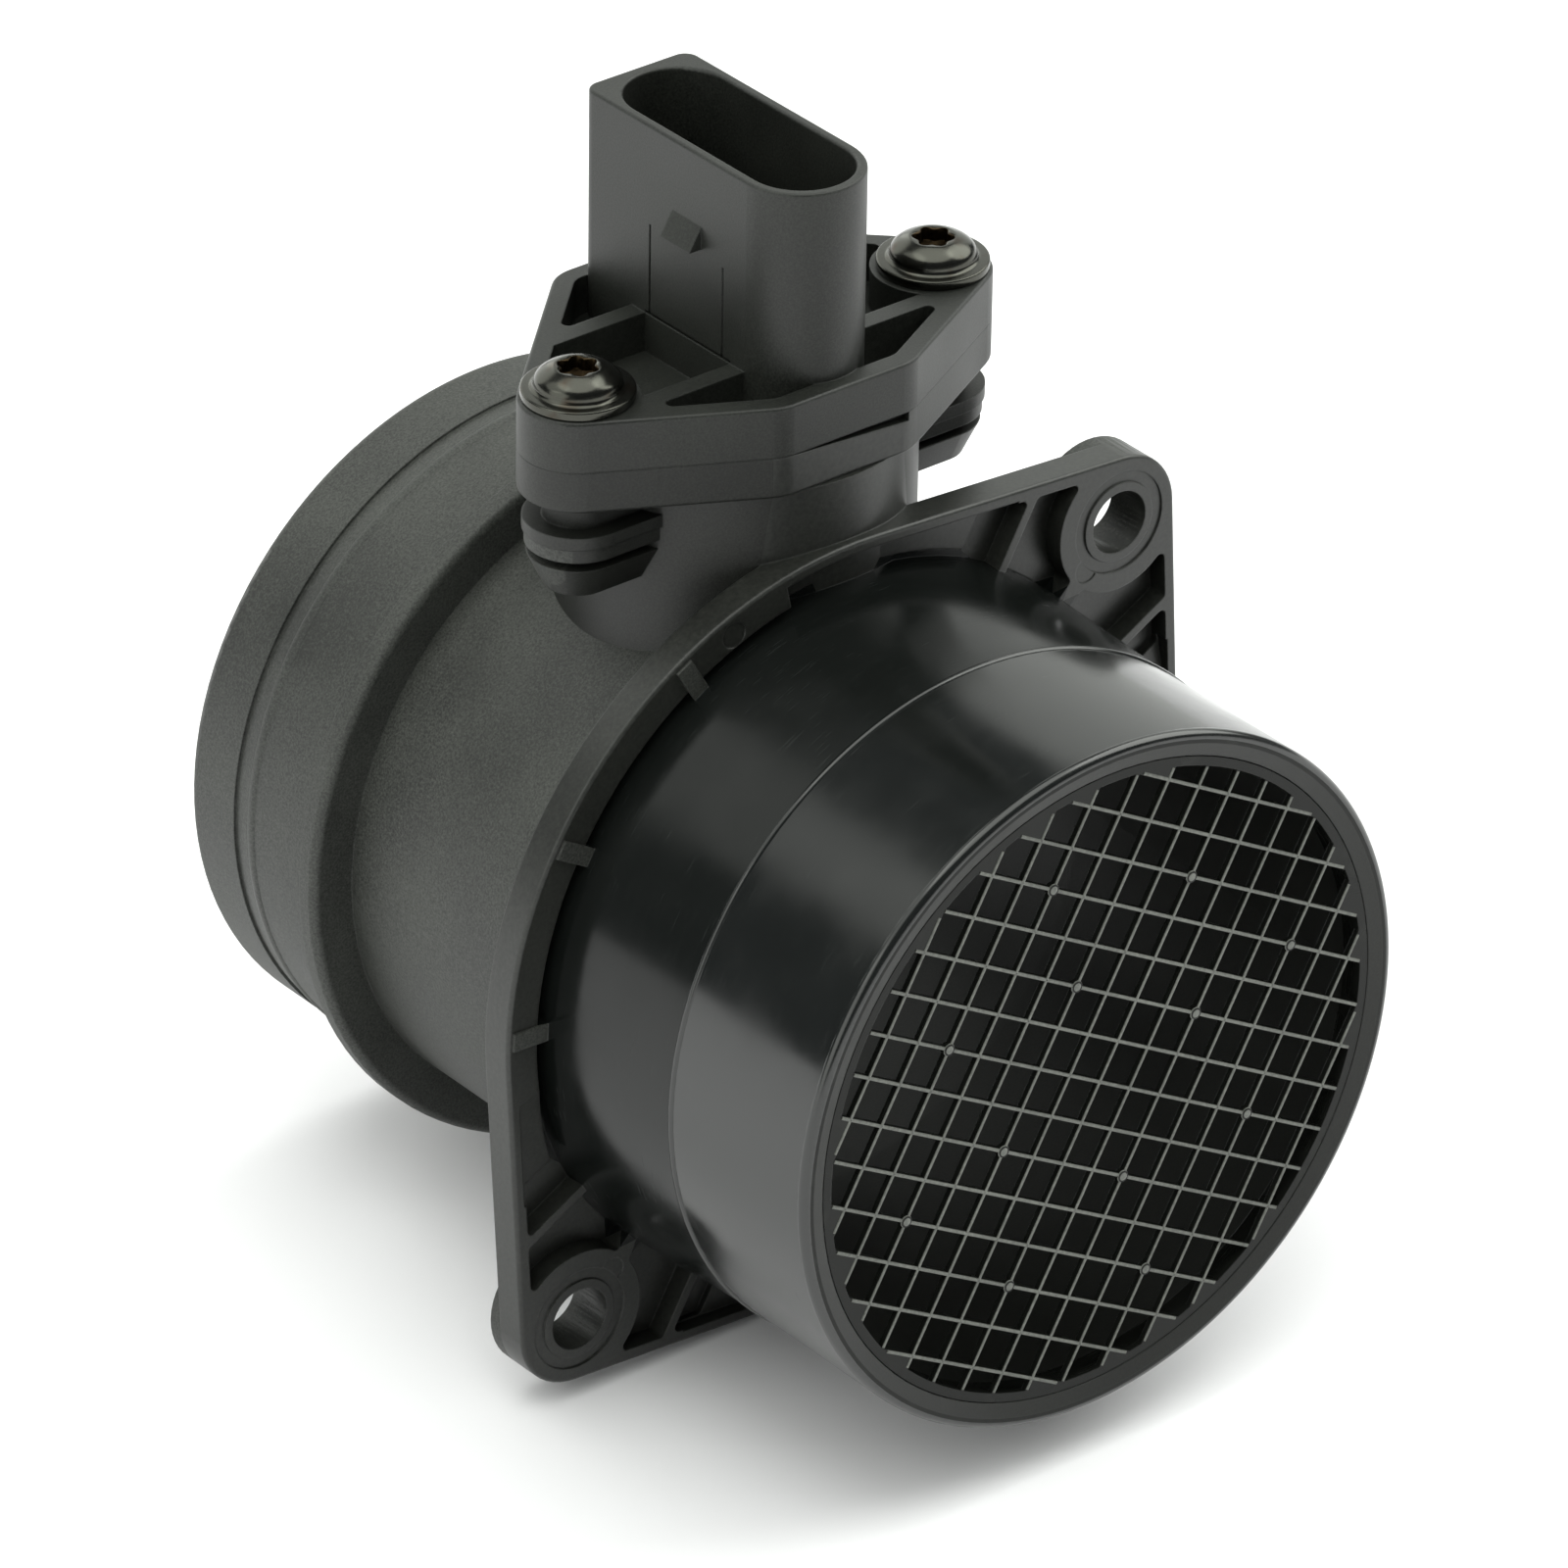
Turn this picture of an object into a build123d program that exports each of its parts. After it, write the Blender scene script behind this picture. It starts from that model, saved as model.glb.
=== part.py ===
from build123d import *
from math import cos, radians, sin, tan
import os

# Mass airflow sensor: a plug-in sensor module screwed into a moulded flow duct.
# The duct runs along Y and air enters through the grille at its -Y end. The origin is where the
# duct axis meets the bolt face of the flange. Z points up through the connector, and X points
# right as seen from the inlet. Sizes are in millimetres.

# Duct, with distances along Y from the bolt face
INLET_REACH = 39.2
OUTLET_REACH = 60.3
SPIGOT_R = 37.5
LIP_WALL = 2.7
LIP_ROUND = 0.8
LIP_LAND = 0.4
LEAD_IN_DEPTH = 0.5
CREASE_REACH = 18.6
FLARE_RISE = 1.0
BORE_R = 33.0
TUBE_WALL = 2.5
GRILLE_SEAT_DEPTH = 3.0
GRILLE_SHOULDER = 0.9
COLLAR_FRONT = 35.4
COLLAR_T = 2.4
COLLAR_PROUD = 2.9
COLLAR_ROUND = 0.9
HOSE_SEAT_R = 37.4
BAND_FROM_END = 9.9
BAND_W = 2.3
BAND_DEPTH = 0.3
END_ROUND = 1.2
END_WALL = 2.6
END_FLARE_LENGTH = 15.0

# Bolt flange, with its two ears on one diagonal
FLANGE_T = 3.6
WEB_T = 1.3
RIM_R = 43.1
RIM_GAP = 1.0
BOLT_CIRCLE_R = 48.0
BOLT_ANGLE = 45
EAR_R = 7.2
EAR_WALL = 1.4
BOSS_R = 7.7
BOLT_HOLE_R = 3.4
BOSS_PROUND = 1.6
BOSS_RIB_T = 2.0
EAR_RIB_T = 1.0
EAR_RIB_SPREAD = 15.7
POCKET_MARGIN = 4.9
POCKET_R = 0.6
SHELF_WALL = 1.2
SHELF_DEPTH = 1.6
SHELF_ANGLES = (18.0, 57.0)
RAMP_ANGLE = 21.0
RAMP_RUN = 11.2
TAB_W = 2.0
TAB_END = 0.6
TAB_PROUD = 0.3
TAB_ANGLES = (75.6, 104.8, 133.0)
BOSS_RING_R = 5.0
BOSS_RING_W = 1.2
MARK_DEPTH = 0.2
PIN_MARK_R = 1.4
PIN_MARK_INSET = 5.8
RIM_MARK_INSET = 2.2
RIM_MARK_ANGLE = 67.0
FLANGE_ROUND = 0.4

# Neck that takes the module, and the plate that module and neck share
NECK_Y = 19.4
NECK_WALL = 2.7
PLUG_R = 15.5
PLUG_CLEARANCE = 0.1
SEAT_Z = 54.5
NECK_PLATE_T = 4.5
PLATE_EAR_R = 6.0
PLATE_CORNER_R = 4.5
PLATE_HALF_DEPTH = 17.85
PLATE_CORNER_X = 6.9
SCREW_X = 22.3
SCREW_OFFSET_Y = -3.4
COLUMN_R = 3.5
FIN_R = 5.5
FIN_STEP = 0.25
FIN_LOW = 44.1
FIN_MIDDLE = 45.6
FIN_HIGH = 47.0
FOOT_R = 5.1
FOOT_LOW = 39.5
FOOT_HIGH = 43.1
FOOT_TAPER = 25
PRY_SLOT_X = 7.6
PRY_SLOT_DEPTH = 1.0
PRY_SLOT_H = 1.0
PLATE_ROUND = 0.4

# Module flange
MODULE_T = 5.5
MODULE_WALL = 2.2
MODULE_FLOOR = 1.2
SCREW_BOSS_R = 6.3
MODULE_RIB_T = 2.2
MODULE_RIB_GAP = 13.4
MODULE_RIB_OFFSET_Y = -0.7
MODULE_POCKET_R = 0.7
MODULE_ROUND = 0.35

# Connector socket
SOCKET_TOP = 80.8
SOCKET_HALF_W = 6.6
SOCKET_LENGTH = 32.4
SOCKET_WALL = 1.1
SOCKET_BACK_WALL = 1.4
SOCKET_BACK_R = 1.6
SOCKET_FLOOR = 64.0
SOCKET_ROUND = 0.3
SOCKET_RECESS_DEPTH = 0.6
SOCKET_RECESS_TOP = 60.3
RECESS_SLOT_DEPTH = 2.2
RECESS_SLOT_W = 1.5
RECESS_SLOT_OFFSET_Y = -1.9
RECESS_SLOT_TOP = 59.3
SLIDER_OFFSET_Y = -0.4
LATCH_W = 4.6
LATCH_PROUD = 1.5
LATCH_LOW = 70.6
LATCH_HIGH = 73.1
SLIDER_HALF_W = 5.7
SLIDER_TOP = 70.0
SLIDER_LINE_W = 0.3
SLIDER_LINE_DEPTH = 0.15

# Plug and its seal ring
PLUG_LOW = 44.0
PLUG_CORE_WALL = 3.5
PLUG_TOP_T = 2.0
SEAL_GROOVE_DEPTH = 1.9
SEAL_GROOVE_H = 3.0
SEAL_GROOVE_LOW = 46.6
SEAL_H = 2.4
SEAL_CHAMFER = 0.5
SEAL_CLEARANCE = 0.02

# Probe blade that hangs in the air stream
BLADE_T = 13.0
BLADE_CHORD = 20.0
BLADE_TIP = -12.0
BLADE_NOSE_R = 2.5
BLADE_TAIL_R = 1.0
LID_T = 1.2
LID_R = 1.5
LID_CLEARANCE = 0.1

# Bypass channel, a hairpin round the tip of its dividing wall, centred on the duct axis
CHANNEL_W = 7.0
CHANNEL_PITCH = 10.0
CHANNEL_FLOOR_X = -4.5
CHANNEL_TURN_OFFSET = -1.0
CHANNEL_FRONT_WALL = 2.6
MOUTH_T = 6.5
BYPASS_LID_L = 17.0
BYPASS_LID_H = 19.4
OUTLET_L = 4.0
OUTLET_H = 5.0

# Circuit pocket and what lies in it
POCKET_LOW = 14.0
POCKET_HIGH = 42.0
POCKET_W = 14.4
POCKET_FLOOR_X = -2.0
POCKET_RIM = 1.0
BASE_PLATE_T = 1.0
BASE_PLATE_TOP = 36.8
PLATE_GAP = 0.3
BOARD_T = 0.6
BOARD_LOW = 18.0
BOARD_W = 13.0
BOARD_TOP = 36.4
CHIP_SIZE = 6.0
CHIP_T = 1.2
CHIP_Z = 30.0
CAPACITOR_L = 2.0
CAPACITOR_W = 1.25
CAPACITOR_T = 0.9
CAPACITOR_ROWS = (22.0, 26.0)
CAPACITOR_OFFSET_Y = 4.8

# Measuring element and its holder
HOLDER_W = 4.0
HOLDER_T = 1.2
HOLDER_LOW = 2.5
HOLDER_TOP = 17.6
HOLDER_CLEARANCE = 0.1
ELEMENT_W = 3.0
ELEMENT_L = 4.5
ELEMENT_T = 0.4
ELEMENT_RISE = 0.6

# Terminals
TERMINAL_COUNT = 5
TERMINAL_PITCH = 5.0
TERMINAL_W = 1.5
TERMINAL_T = 0.64
TERMINAL_TIP = 73.0
TERMINAL_TAPER = 0.35
FAN_TOP = 58.0
FAN_LOW = 50.0
PAD_PITCH = 3.0
PAD_LOW = 37.8
LEDGE_LOW = 37.1
RIBBON_W = 0.5
RIBBON_T = 0.15
RIBBON_TERMINAL_Z = 38.8
RIBBON_BOARD_Z = 35.4

# Intake-air thermistor in a recess on the other side of the blade
RECESS_LOW = 20.0
RECESS_HIGH = 34.0
RECESS_W = 9.0
RECESS_DEPTH = 2.5
RECESS_R = 2.0
BEAD_R = 1.1
BEAD_L = 3.6
LEAD_R = 0.25
LEAD_SPAN = 10.0
LEAD_ROOT = 1.2
BEAD_X = -5.3

# Inlet grille
GRILLE_RIM_W = 1.0
GRILLE_RIM_L = 2.5
GRILLE_CLEARANCE = 0.1
GRID_PITCH = 4.45
GRID_BAR_W = 0.42
GRID_BAR_T = 0.6
GRID_ANGLE = -29.5
GRID_OPEN_SHARE = 0.35
GRID_PAD_R = 0.6
GRID_PAD_PROUD = 0.15
GRID_PAD_SPOTS = ((0, 5), (5, 0), (4, 4), (2, 2), (4, -4), (2, -2))

# Module screws
SCREW_WASHER_R = 5.7
SCREW_WASHER_T = 1.0
SCREW_WASHER_ROUND = 0.3
SCREW_HEAD_R = 3.9
SCREW_HEAD_H = 2.4
SCREW_DOME_R = 2.1
SCREW_SHANK_R = 2.0
SCREW_LENGTH = 16.0
SCREW_TIP_H = 1.0
PILOT_CLEARANCE = 0.05
THROUGH_CLEARANCE = 0.3
DRIVE_R = 1.75
DRIVE_LOBE_R = 0.55
DRIVE_DEPTH = 1.4

# The shortest edge kept when an outline is shrunk and grown
SHORT_EDGE = 0.01

# Places worked out from the sizes above
LIP_Y = -INLET_REACH
LEAD_IN_Y = LIP_Y + LEAD_IN_DEPTH
GRILLE_SEAT_R = SPIGOT_R - LIP_WALL
GRILLE_STOP_Y = LIP_Y + GRILLE_SEAT_DEPTH
FLARE_R = SPIGOT_R + FLARE_RISE
TUBE_R = BORE_R + TUBE_WALL
COLLAR_R = HOSE_SEAT_R + COLLAR_PROUD
COLLAR_BACK = COLLAR_FRONT + COLLAR_T
RIM_IN_R = FLARE_R + RIM_GAP
NECK_BORE_R = PLUG_R + PLUG_CLEARANCE
NECK_R = NECK_BORE_R + NECK_WALL
SCREW_Y = NECK_Y + SCREW_OFFSET_Y
MODULE_TOP = SEAT_Z + MODULE_T
PILOT_R = SCREW_SHANK_R + PILOT_CLEARANCE
PILOT_LOW = MODULE_TOP - SCREW_LENGTH - SCREW_TIP_H
BLADE_FRONT = NECK_Y - BLADE_CHORD / 2
BLADE_BACK = NECK_Y + BLADE_CHORD / 2
LID_X = BLADE_T / 2 - LID_T
CHANNEL_TURN_Y = NECK_Y + CHANNEL_TURN_OFFSET
CHANNEL_START_Y = BLADE_FRONT + CHANNEL_FRONT_WALL
PLATE_FACE_X = POCKET_FLOOR_X + BASE_PLATE_T
BOARD_FACE_X = PLATE_FACE_X + BOARD_T
PAD_FACE_X = TERMINAL_T / 2
HOLDER_FACE_X = PLATE_FACE_X + HOLDER_T

os.makedirs("parts", exist_ok=True)


def prism(outline, z_low, z_high):
    """Raises an outline drawn in XY from z_low to z_high."""
    return extrude(Pos(0, 0, z_low) * outline, z_high - z_low)


def slab(outline, y_front, y_back):
    """Thickens an outline drawn as the inlet side sees it, X right and Z up, between two Y planes."""
    return extrude(Plane.XZ.offset(-y_back) * outline, y_back - y_front)


def cheek(outline, x_low, x_high):
    """Thickens an outline drawn in YZ between two X planes."""
    return extrude(Plane.YZ.offset(x_low) * outline, x_high - x_low)


def box_between(x, y, z):
    """A box from three (low, high) pairs."""
    sides = [high - low for low, high in (x, y, z)]
    centre = [(high + low) / 2 for low, high in (x, y, z)]
    return Pos(*centre) * Box(*sides)


def rounded(outline, spot, radius):
    """The outline with its corner nearest spot rounded."""
    return fillet(outline.vertices().sort_by_distance(spot)[:1], radius)


def opened(outline, radius):
    """The outline shrunk and grown again, which rounds its outward corners."""
    shrunk = offset(outline, -radius, min_edge_length=SHORT_EDGE)
    return offset(shrunk, radius, min_edge_length=SHORT_EDGE)


def ears(shape):
    """The shape, drawn on the +X ear of the bolt flange, on both ears."""
    return shape + Rot(0, 0, 180) * shape


def rays(*angles):
    """A sector between two angles in degrees, drawn from the duct axis to beyond the ears."""
    reach = BOLT_CIRCLE_R + 2 * EAR_R
    ends = [(reach * cos(radians(angle)), reach * sin(radians(angle))) for angle in angles]
    return make_face(Polyline((0, 0), *ends, close=True))


def duct_wall():
    """The round wall of the duct from lip to outlet, turned round the Y axis."""
    crest_r = SPIGOT_R - LIP_ROUND
    band_front = OUTLET_REACH - BAND_FROM_END
    points = [
        (GRILLE_SEAT_R, LEAD_IN_Y), (crest_r - LIP_LAND, LIP_Y), (SPIGOT_R, LIP_Y),
        (SPIGOT_R, -CREASE_REACH), (FLARE_R, FLANGE_T), (TUBE_R, FLANGE_T),
        (TUBE_R, COLLAR_FRONT), (COLLAR_R, COLLAR_FRONT), (COLLAR_R, COLLAR_BACK),
        (HOSE_SEAT_R, COLLAR_BACK), (HOSE_SEAT_R, band_front),
        (HOSE_SEAT_R - BAND_DEPTH, band_front + BAND_W), (HOSE_SEAT_R, band_front + BAND_W),
        (HOSE_SEAT_R, OUTLET_REACH), (HOSE_SEAT_R - END_WALL, OUTLET_REACH),
        (BORE_R, OUTLET_REACH - END_FLARE_LENGTH), (BORE_R, FLANGE_T),
        (GRILLE_SEAT_R - GRILLE_SHOULDER, GRILLE_STOP_Y), (GRILLE_SEAT_R, GRILLE_STOP_Y),
    ]
    outline = make_face(Polyline(*points, close=True))
    outline = rounded(outline, (SPIGOT_R, LIP_Y), LIP_ROUND)
    outline = rounded(outline, (COLLAR_R, COLLAR_FRONT), COLLAR_ROUND)
    outline = rounded(outline, (HOSE_SEAT_R, OUTLET_REACH), END_ROUND)
    return revolve(outline, Axis.Y)


def flange_outline(inset=0.0):
    """A round rim joined to the two bolt ears by tangents, drawn with the ears on X."""
    ear = Circle(EAR_R - inset)
    rings = [Circle(RIM_R - inset), Pos(BOLT_CIRCLE_R, 0) * ear, Pos(-BOLT_CIRCLE_R, 0) * ear]
    return make_hull([edge for ring in rings for edge in ring.edges()])


def flange_hollows():
    """What the bolt face leaves open: a ring gap round the spigot and a ribbed pocket at each ear."""
    reach = BOLT_CIRCLE_R + 2 * EAR_R
    apex = -POCKET_MARGIN / sin(radians(EAR_RIB_SPREAD))
    half = (reach - apex) * tan(radians(EAR_RIB_SPREAD))
    wedge = make_face(Polyline((apex, 0), (reach, half), (reach, -half), close=True))
    ribs = Pos(reach / 2, 0) * Rectangle(reach, BOSS_RIB_T)
    ear_rib = Pos(reach / 2, 0) * Rectangle(reach, EAR_RIB_T)
    ribs += [Rot(0, 0, turn) * ear_rib for turn in (-EAR_RIB_SPREAD, EAR_RIB_SPREAD)]
    boss = Pos(BOLT_CIRCLE_R, 0) * Circle(BOSS_R)
    pockets = wedge & flange_outline(EAR_WALL)
    pockets = opened(pockets - Circle(SPIGOT_R) - ribs - boss, POCKET_R)
    return ears(pockets) + (Circle(RIM_IN_R) - ears(ribs))


def rim_tabs():
    """The short tabs that cross the ring gap and the face of the rim."""
    length = RIM_R - TAB_END - SPIGOT_R
    tab = Pos(SPIGOT_R + length / 2, 0) * Rectangle(length, TAB_W)
    return ears(Sketch() + [Rot(0, 0, angle) * tab for angle in TAB_ANGLES])


def ear_steps():
    """On one side of each ear a shallow shelf in the bolt face, on the other a ramp."""
    room = flange_outline(SHELF_WALL) - Circle(RIM_IN_R)
    shelf = slab(room & rays(*SHELF_ANGLES), 0, SHELF_DEPTH)
    turn = radians(-RAMP_ANGLE)
    across = Plane(origin=(0, 0, 0), x_dir=(-sin(turn), 0, cos(turn)), z_dir=(cos(turn), 0, sin(turn)))
    slope = make_face(Polyline((-RAMP_RUN, 0), (0, 0), (0, -SHELF_DEPTH), close=True))
    ramp = extrude(across * slope, BOLT_CIRCLE_R) & slab(room, 0, SHELF_DEPTH)
    steps = shelf + ramp
    return steps + Rot(0, 180, 0) * steps


def bolt_flange():
    """The two-eared flange: rim, pockets, ribs, and bosses that stand proud at the back."""
    plate = slab(flange_outline() - Circle(TUBE_R), 0, FLANGE_T)
    plate = fillet(plate.edges().group_by(Axis.Y)[0].sort_by(SortBy.LENGTH)[-4:], FLANGE_ROUND)
    plate -= slab(flange_hollows(), 0, FLANGE_T - WEB_T) + ear_steps()
    plate += slab(rim_tabs(), -TAB_PROUD, FLANGE_T)
    at_bolt = Pos(BOLT_CIRCLE_R, 0)
    boss_back = FLANGE_T + BOSS_PROUND
    plate += slab(ears(at_bolt * Circle(EAR_R)), FLANGE_T - WEB_T, boss_back)
    ring = Circle(BOSS_RING_R + BOSS_RING_W / 2) - Circle(BOSS_RING_R - BOSS_RING_W / 2)
    plate -= slab(ears(at_bolt * ring), 0, MARK_DEPTH)
    pin_marks = Pos(BOLT_CIRCLE_R - PIN_MARK_INSET, 0) * Circle(PIN_MARK_R)
    pin_marks += Rot(0, 0, RIM_MARK_ANGLE) * Pos(RIM_R - RIM_MARK_INSET, 0) * Circle(PIN_MARK_R)
    plate -= slab(ears(pin_marks), 0, MARK_DEPTH / 2)
    plate -= slab(ears(at_bolt * Circle(BOLT_HOLE_R)), 0, boss_back)
    return Rot(0, -BOLT_ANGLE, 0) * plate


def plate_outline(inset=0.0):
    """The six-cornered outline that the neck plate and the module flange share."""
    corner = Circle(PLATE_CORNER_R - inset)
    ear = Circle(PLATE_EAR_R - inset)
    corner_y = PLATE_HALF_DEPTH - PLATE_CORNER_R
    rings = [
        Pos(side * x, y) * ring
        for side in (-1, 1)
        for x, y, ring in (
            (SCREW_X, SCREW_Y, ear),
            (PLATE_CORNER_X, NECK_Y - corner_y, corner),
            (PLATE_CORNER_X, NECK_Y + corner_y, corner),
        )
    ]
    return make_hull([edge for ring in rings for edge in ring.edges()])


def screw_spots():
    """The two screw axes, as places on the seat."""
    return [Pos(side * SCREW_X, SCREW_Y) for side in (-1, 1)]


def neck():
    """The round neck, the finned screw columns and the plate that the module seats on."""
    plate_low = SEAT_Z - NECK_PLATE_T
    body = prism(Pos(0, NECK_Y) * Circle(NECK_R), BORE_R * cos(NECK_R / BORE_R), plate_low)
    for radius, low, high in (
        (COLUMN_R, FOOT_HIGH, plate_low),
        (FIN_R, FIN_MIDDLE, FIN_HIGH),
        (FIN_R - FIN_STEP, FIN_LOW, FIN_MIDDLE),
    ):
        body += prism(Pos(0, SCREW_Y) * SlotCenterToCenter(2 * SCREW_X, 2 * radius), low, high)
    foot = Pos(0, SCREW_Y, FOOT_HIGH) * SlotCenterToCenter(2 * SCREW_X, 2 * FOOT_R)
    body += extrude(foot, FOOT_LOW - FOOT_HIGH, taper=FOOT_TAPER)
    plate = prism(plate_outline(), plate_low, SEAT_Z)
    plate = fillet(plate.edges().group_by(Axis.Z)[0], PLATE_ROUND)
    front = NECK_Y - PLATE_HALF_DEPTH
    notch = make_face(Polyline((-PRY_SLOT_X, SEAT_Z), (PRY_SLOT_X, SEAT_Z),
                               (PRY_SLOT_X, SEAT_Z - PRY_SLOT_H), close=True))
    return body + plate - slab(notch, front, front + PRY_SLOT_DEPTH)


def duct_housing():
    """One moulding: duct wall, bolt flange and neck, bored for the air, the plug and the screws."""
    body = duct_wall() + bolt_flange() + neck()
    front_bore = slab(Circle(BORE_R), GRILLE_STOP_Y, COLLAR_FRONT)
    body -= front_bore
    body -= prism(Pos(0, NECK_Y) * Circle(NECK_BORE_R), 0, SEAT_Z)
    for spot in screw_spots():
        body -= prism(spot * Circle(PILOT_R), PILOT_LOW, SEAT_Z)
    return body


def inlet_grille():
    """A ring with a square grid of thin bars, round pads on some crossings and filled edge cells."""
    outer_r = GRILLE_SEAT_R - GRILLE_CLEARANCE
    inner_r = outer_r - GRILLE_RIM_W
    back = GRILLE_STOP_Y
    front = back - GRILLE_RIM_L
    clear = GRID_PITCH - GRID_BAR_W
    count = int(inner_r // GRID_PITCH) + 1
    cells = []
    for column in range(-count, count):
        for row in range(-count, count):
            spot = Pos((column + 0.5) * GRID_PITCH, (row + 0.5) * GRID_PITCH)
            cell = spot * Rectangle(clear, clear) & Circle(inner_r)
            if cell and cell.area > GRID_OPEN_SHARE * clear**2:
                cells.append(cell)
    turn = Rot(0, 0, GRID_ANGLE)
    web = slab(turn * (Circle(outer_r) - cells), front, front + GRID_BAR_T)
    rim = slab(Circle(outer_r) - Circle(inner_r), front, back)
    pads = [
        turn * Pos(side * u * GRID_PITCH, side * v * GRID_PITCH) * Circle(GRID_PAD_R)
        for u, v in GRID_PAD_SPOTS
        for side in (-1, 1)
    ]
    return web + rim + slab(Sketch() + pads, front - GRID_PAD_PROUD, front + GRID_BAR_T)


def socket_outline():
    """The connector outline: full round at the front, with rounded corners at the back."""
    front = Pos(0, NECK_Y - SOCKET_LENGTH / 2 + SOCKET_HALF_W) * Circle(SOCKET_HALF_W)
    back_y = NECK_Y + SOCKET_LENGTH / 2 - SOCKET_BACK_R
    corner_x = SOCKET_HALF_W - SOCKET_BACK_R
    rings = [front] + [Pos(side * corner_x, back_y) * Circle(SOCKET_BACK_R) for side in (-1, 1)]
    return make_hull([edge for ring in rings for edge in ring.edges()])


def cavity_outline():
    """The opening of the socket, round at both ends."""
    half_w = SOCKET_HALF_W - SOCKET_WALL
    front_y = NECK_Y - SOCKET_LENGTH / 2 + SOCKET_HALF_W
    back_y = NECK_Y + SOCKET_LENGTH / 2 - SOCKET_BACK_WALL - half_w
    middle = (front_y + back_y) / 2
    return Pos(0, middle) * SlotCenterToCenter(back_y - front_y, 2 * half_w, rotation=90)


def terminal(number):
    """One blade: straight in the socket, fanned in to the pad pitch, straight down to its pad."""
    place = number - (TERMINAL_COUNT + 1) / 2
    socket_y = NECK_Y + place * TERMINAL_PITCH
    pad_y = NECK_Y + place * PAD_PITCH
    line = [(socket_y, TERMINAL_TIP), (socket_y, FAN_TOP), (pad_y, FAN_LOW), (pad_y, PAD_LOW)]
    left = [(y - TERMINAL_W / 2, z) for y, z in line]
    right = [(y + TERMINAL_W / 2, z) for y, z in reversed(line)]
    blade = cheek(make_face(Polyline(*left, *right, close=True)), -PAD_FACE_X, PAD_FACE_X)
    tip = blade.faces().sort_by(Axis.Z)[-1]
    return chamfer(tip.edges(), TERMINAL_TAPER * TERMINAL_T)


def terminals():
    """All the blades."""
    return [terminal(number + 1) for number in range(TERMINAL_COUNT)]


def module_flange():
    """The ribbed flange of the module, open at the top."""
    flange = prism(plate_outline(), SEAT_Z, MODULE_TOP)
    flange = fillet(flange.edges().group_by(Axis.Z)[-1], MODULE_ROUND)
    rib = Rectangle(4 * SCREW_X, MODULE_RIB_T)
    rib_y = (MODULE_RIB_GAP + MODULE_RIB_T) / 2
    kept = [Pos(0, NECK_Y + MODULE_RIB_OFFSET_Y + side * rib_y) * rib for side in (-1, 1)]
    kept += [spot * Circle(SCREW_BOSS_R) for spot in screw_spots()]
    hollow = plate_outline(MODULE_WALL) - socket_outline() - kept
    tips = [max(pocket.vertices(), key=lambda corner: abs(corner.X)) for pocket in hollow.faces()]
    flange -= prism(fillet(tips, MODULE_POCKET_R), SEAT_Z + MODULE_FLOOR, MODULE_TOP)
    for spot in screw_spots():
        flange -= prism(spot * Circle(SCREW_SHANK_R + THROUGH_CLEARANCE), SEAT_Z, MODULE_TOP)
    return flange


def socket():
    """The connector shroud with its latch wedge and the witness lines of its mould slider."""
    shroud = prism(socket_outline(), SEAT_Z, SOCKET_TOP) - prism(cavity_outline(), SOCKET_FLOOR, SOCKET_TOP)
    shroud = fillet(shroud.edges().group_by(Axis.Z)[-1], SOCKET_ROUND)
    face = -SOCKET_HALF_W
    root = face + SOCKET_WALL / 2
    wedge = make_face(Polyline((root, LATCH_LOW), (face - LATCH_PROUD, LATCH_LOW), (face, LATCH_HIGH),
                               (root, LATCH_HIGH), close=True))
    middle = NECK_Y + SLIDER_OFFSET_Y
    shroud += slab(wedge, middle - LATCH_W / 2, middle + LATCH_W / 2)
    floor = SEAT_Z + MODULE_FLOOR
    rib_middle = NECK_Y + MODULE_RIB_OFFSET_Y
    shroud -= box_between((face, face + SOCKET_RECESS_DEPTH),
                          (rib_middle - MODULE_RIB_GAP / 2, rib_middle + MODULE_RIB_GAP / 2),
                          (floor, SOCKET_RECESS_TOP))
    slot_y = NECK_Y + RECESS_SLOT_OFFSET_Y
    shroud -= box_between((face, face + RECESS_SLOT_DEPTH),
                          (slot_y - RECESS_SLOT_W / 2, slot_y + RECESS_SLOT_W / 2),
                          (floor, RECESS_SLOT_TOP))
    for side in (-1, 1):
        y = middle + side * SLIDER_HALF_W
        shroud -= box_between((face, face + SLIDER_LINE_DEPTH),
                              (y - SLIDER_LINE_W / 2, y + SLIDER_LINE_W / 2), (MODULE_TOP, SLIDER_TOP))
    return shroud


def plug():
    """The round plug with its seal groove, cored out underneath."""
    ring = Circle(PLUG_R)
    body = prism(ring, PLUG_LOW, SEAT_Z) - prism(Circle(PLUG_R - PLUG_CORE_WALL), PLUG_LOW,
                                                 SEAT_Z - PLUG_TOP_T)
    groove = ring - Circle(PLUG_R - SEAL_GROOVE_DEPTH)
    return Pos(0, NECK_Y) * (body - prism(groove, SEAL_GROOVE_LOW, SEAL_GROOVE_LOW + SEAL_GROOVE_H))


def lid_outline(length, height, clearance=0.0):
    """A lid or its rebate, centred on its own origin."""
    return RectangleRounded(length - 2 * clearance, height - 2 * clearance, LID_R - clearance)


def bypass_lid_spot():
    """Where the bypass lid lies on the blade."""
    return Pos(NECK_Y, 0)


def circuit_lid_spot():
    """Where the circuit lid lies on the blade."""
    return Pos(NECK_Y, (POCKET_LOW + POCKET_HIGH) / 2)


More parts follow.
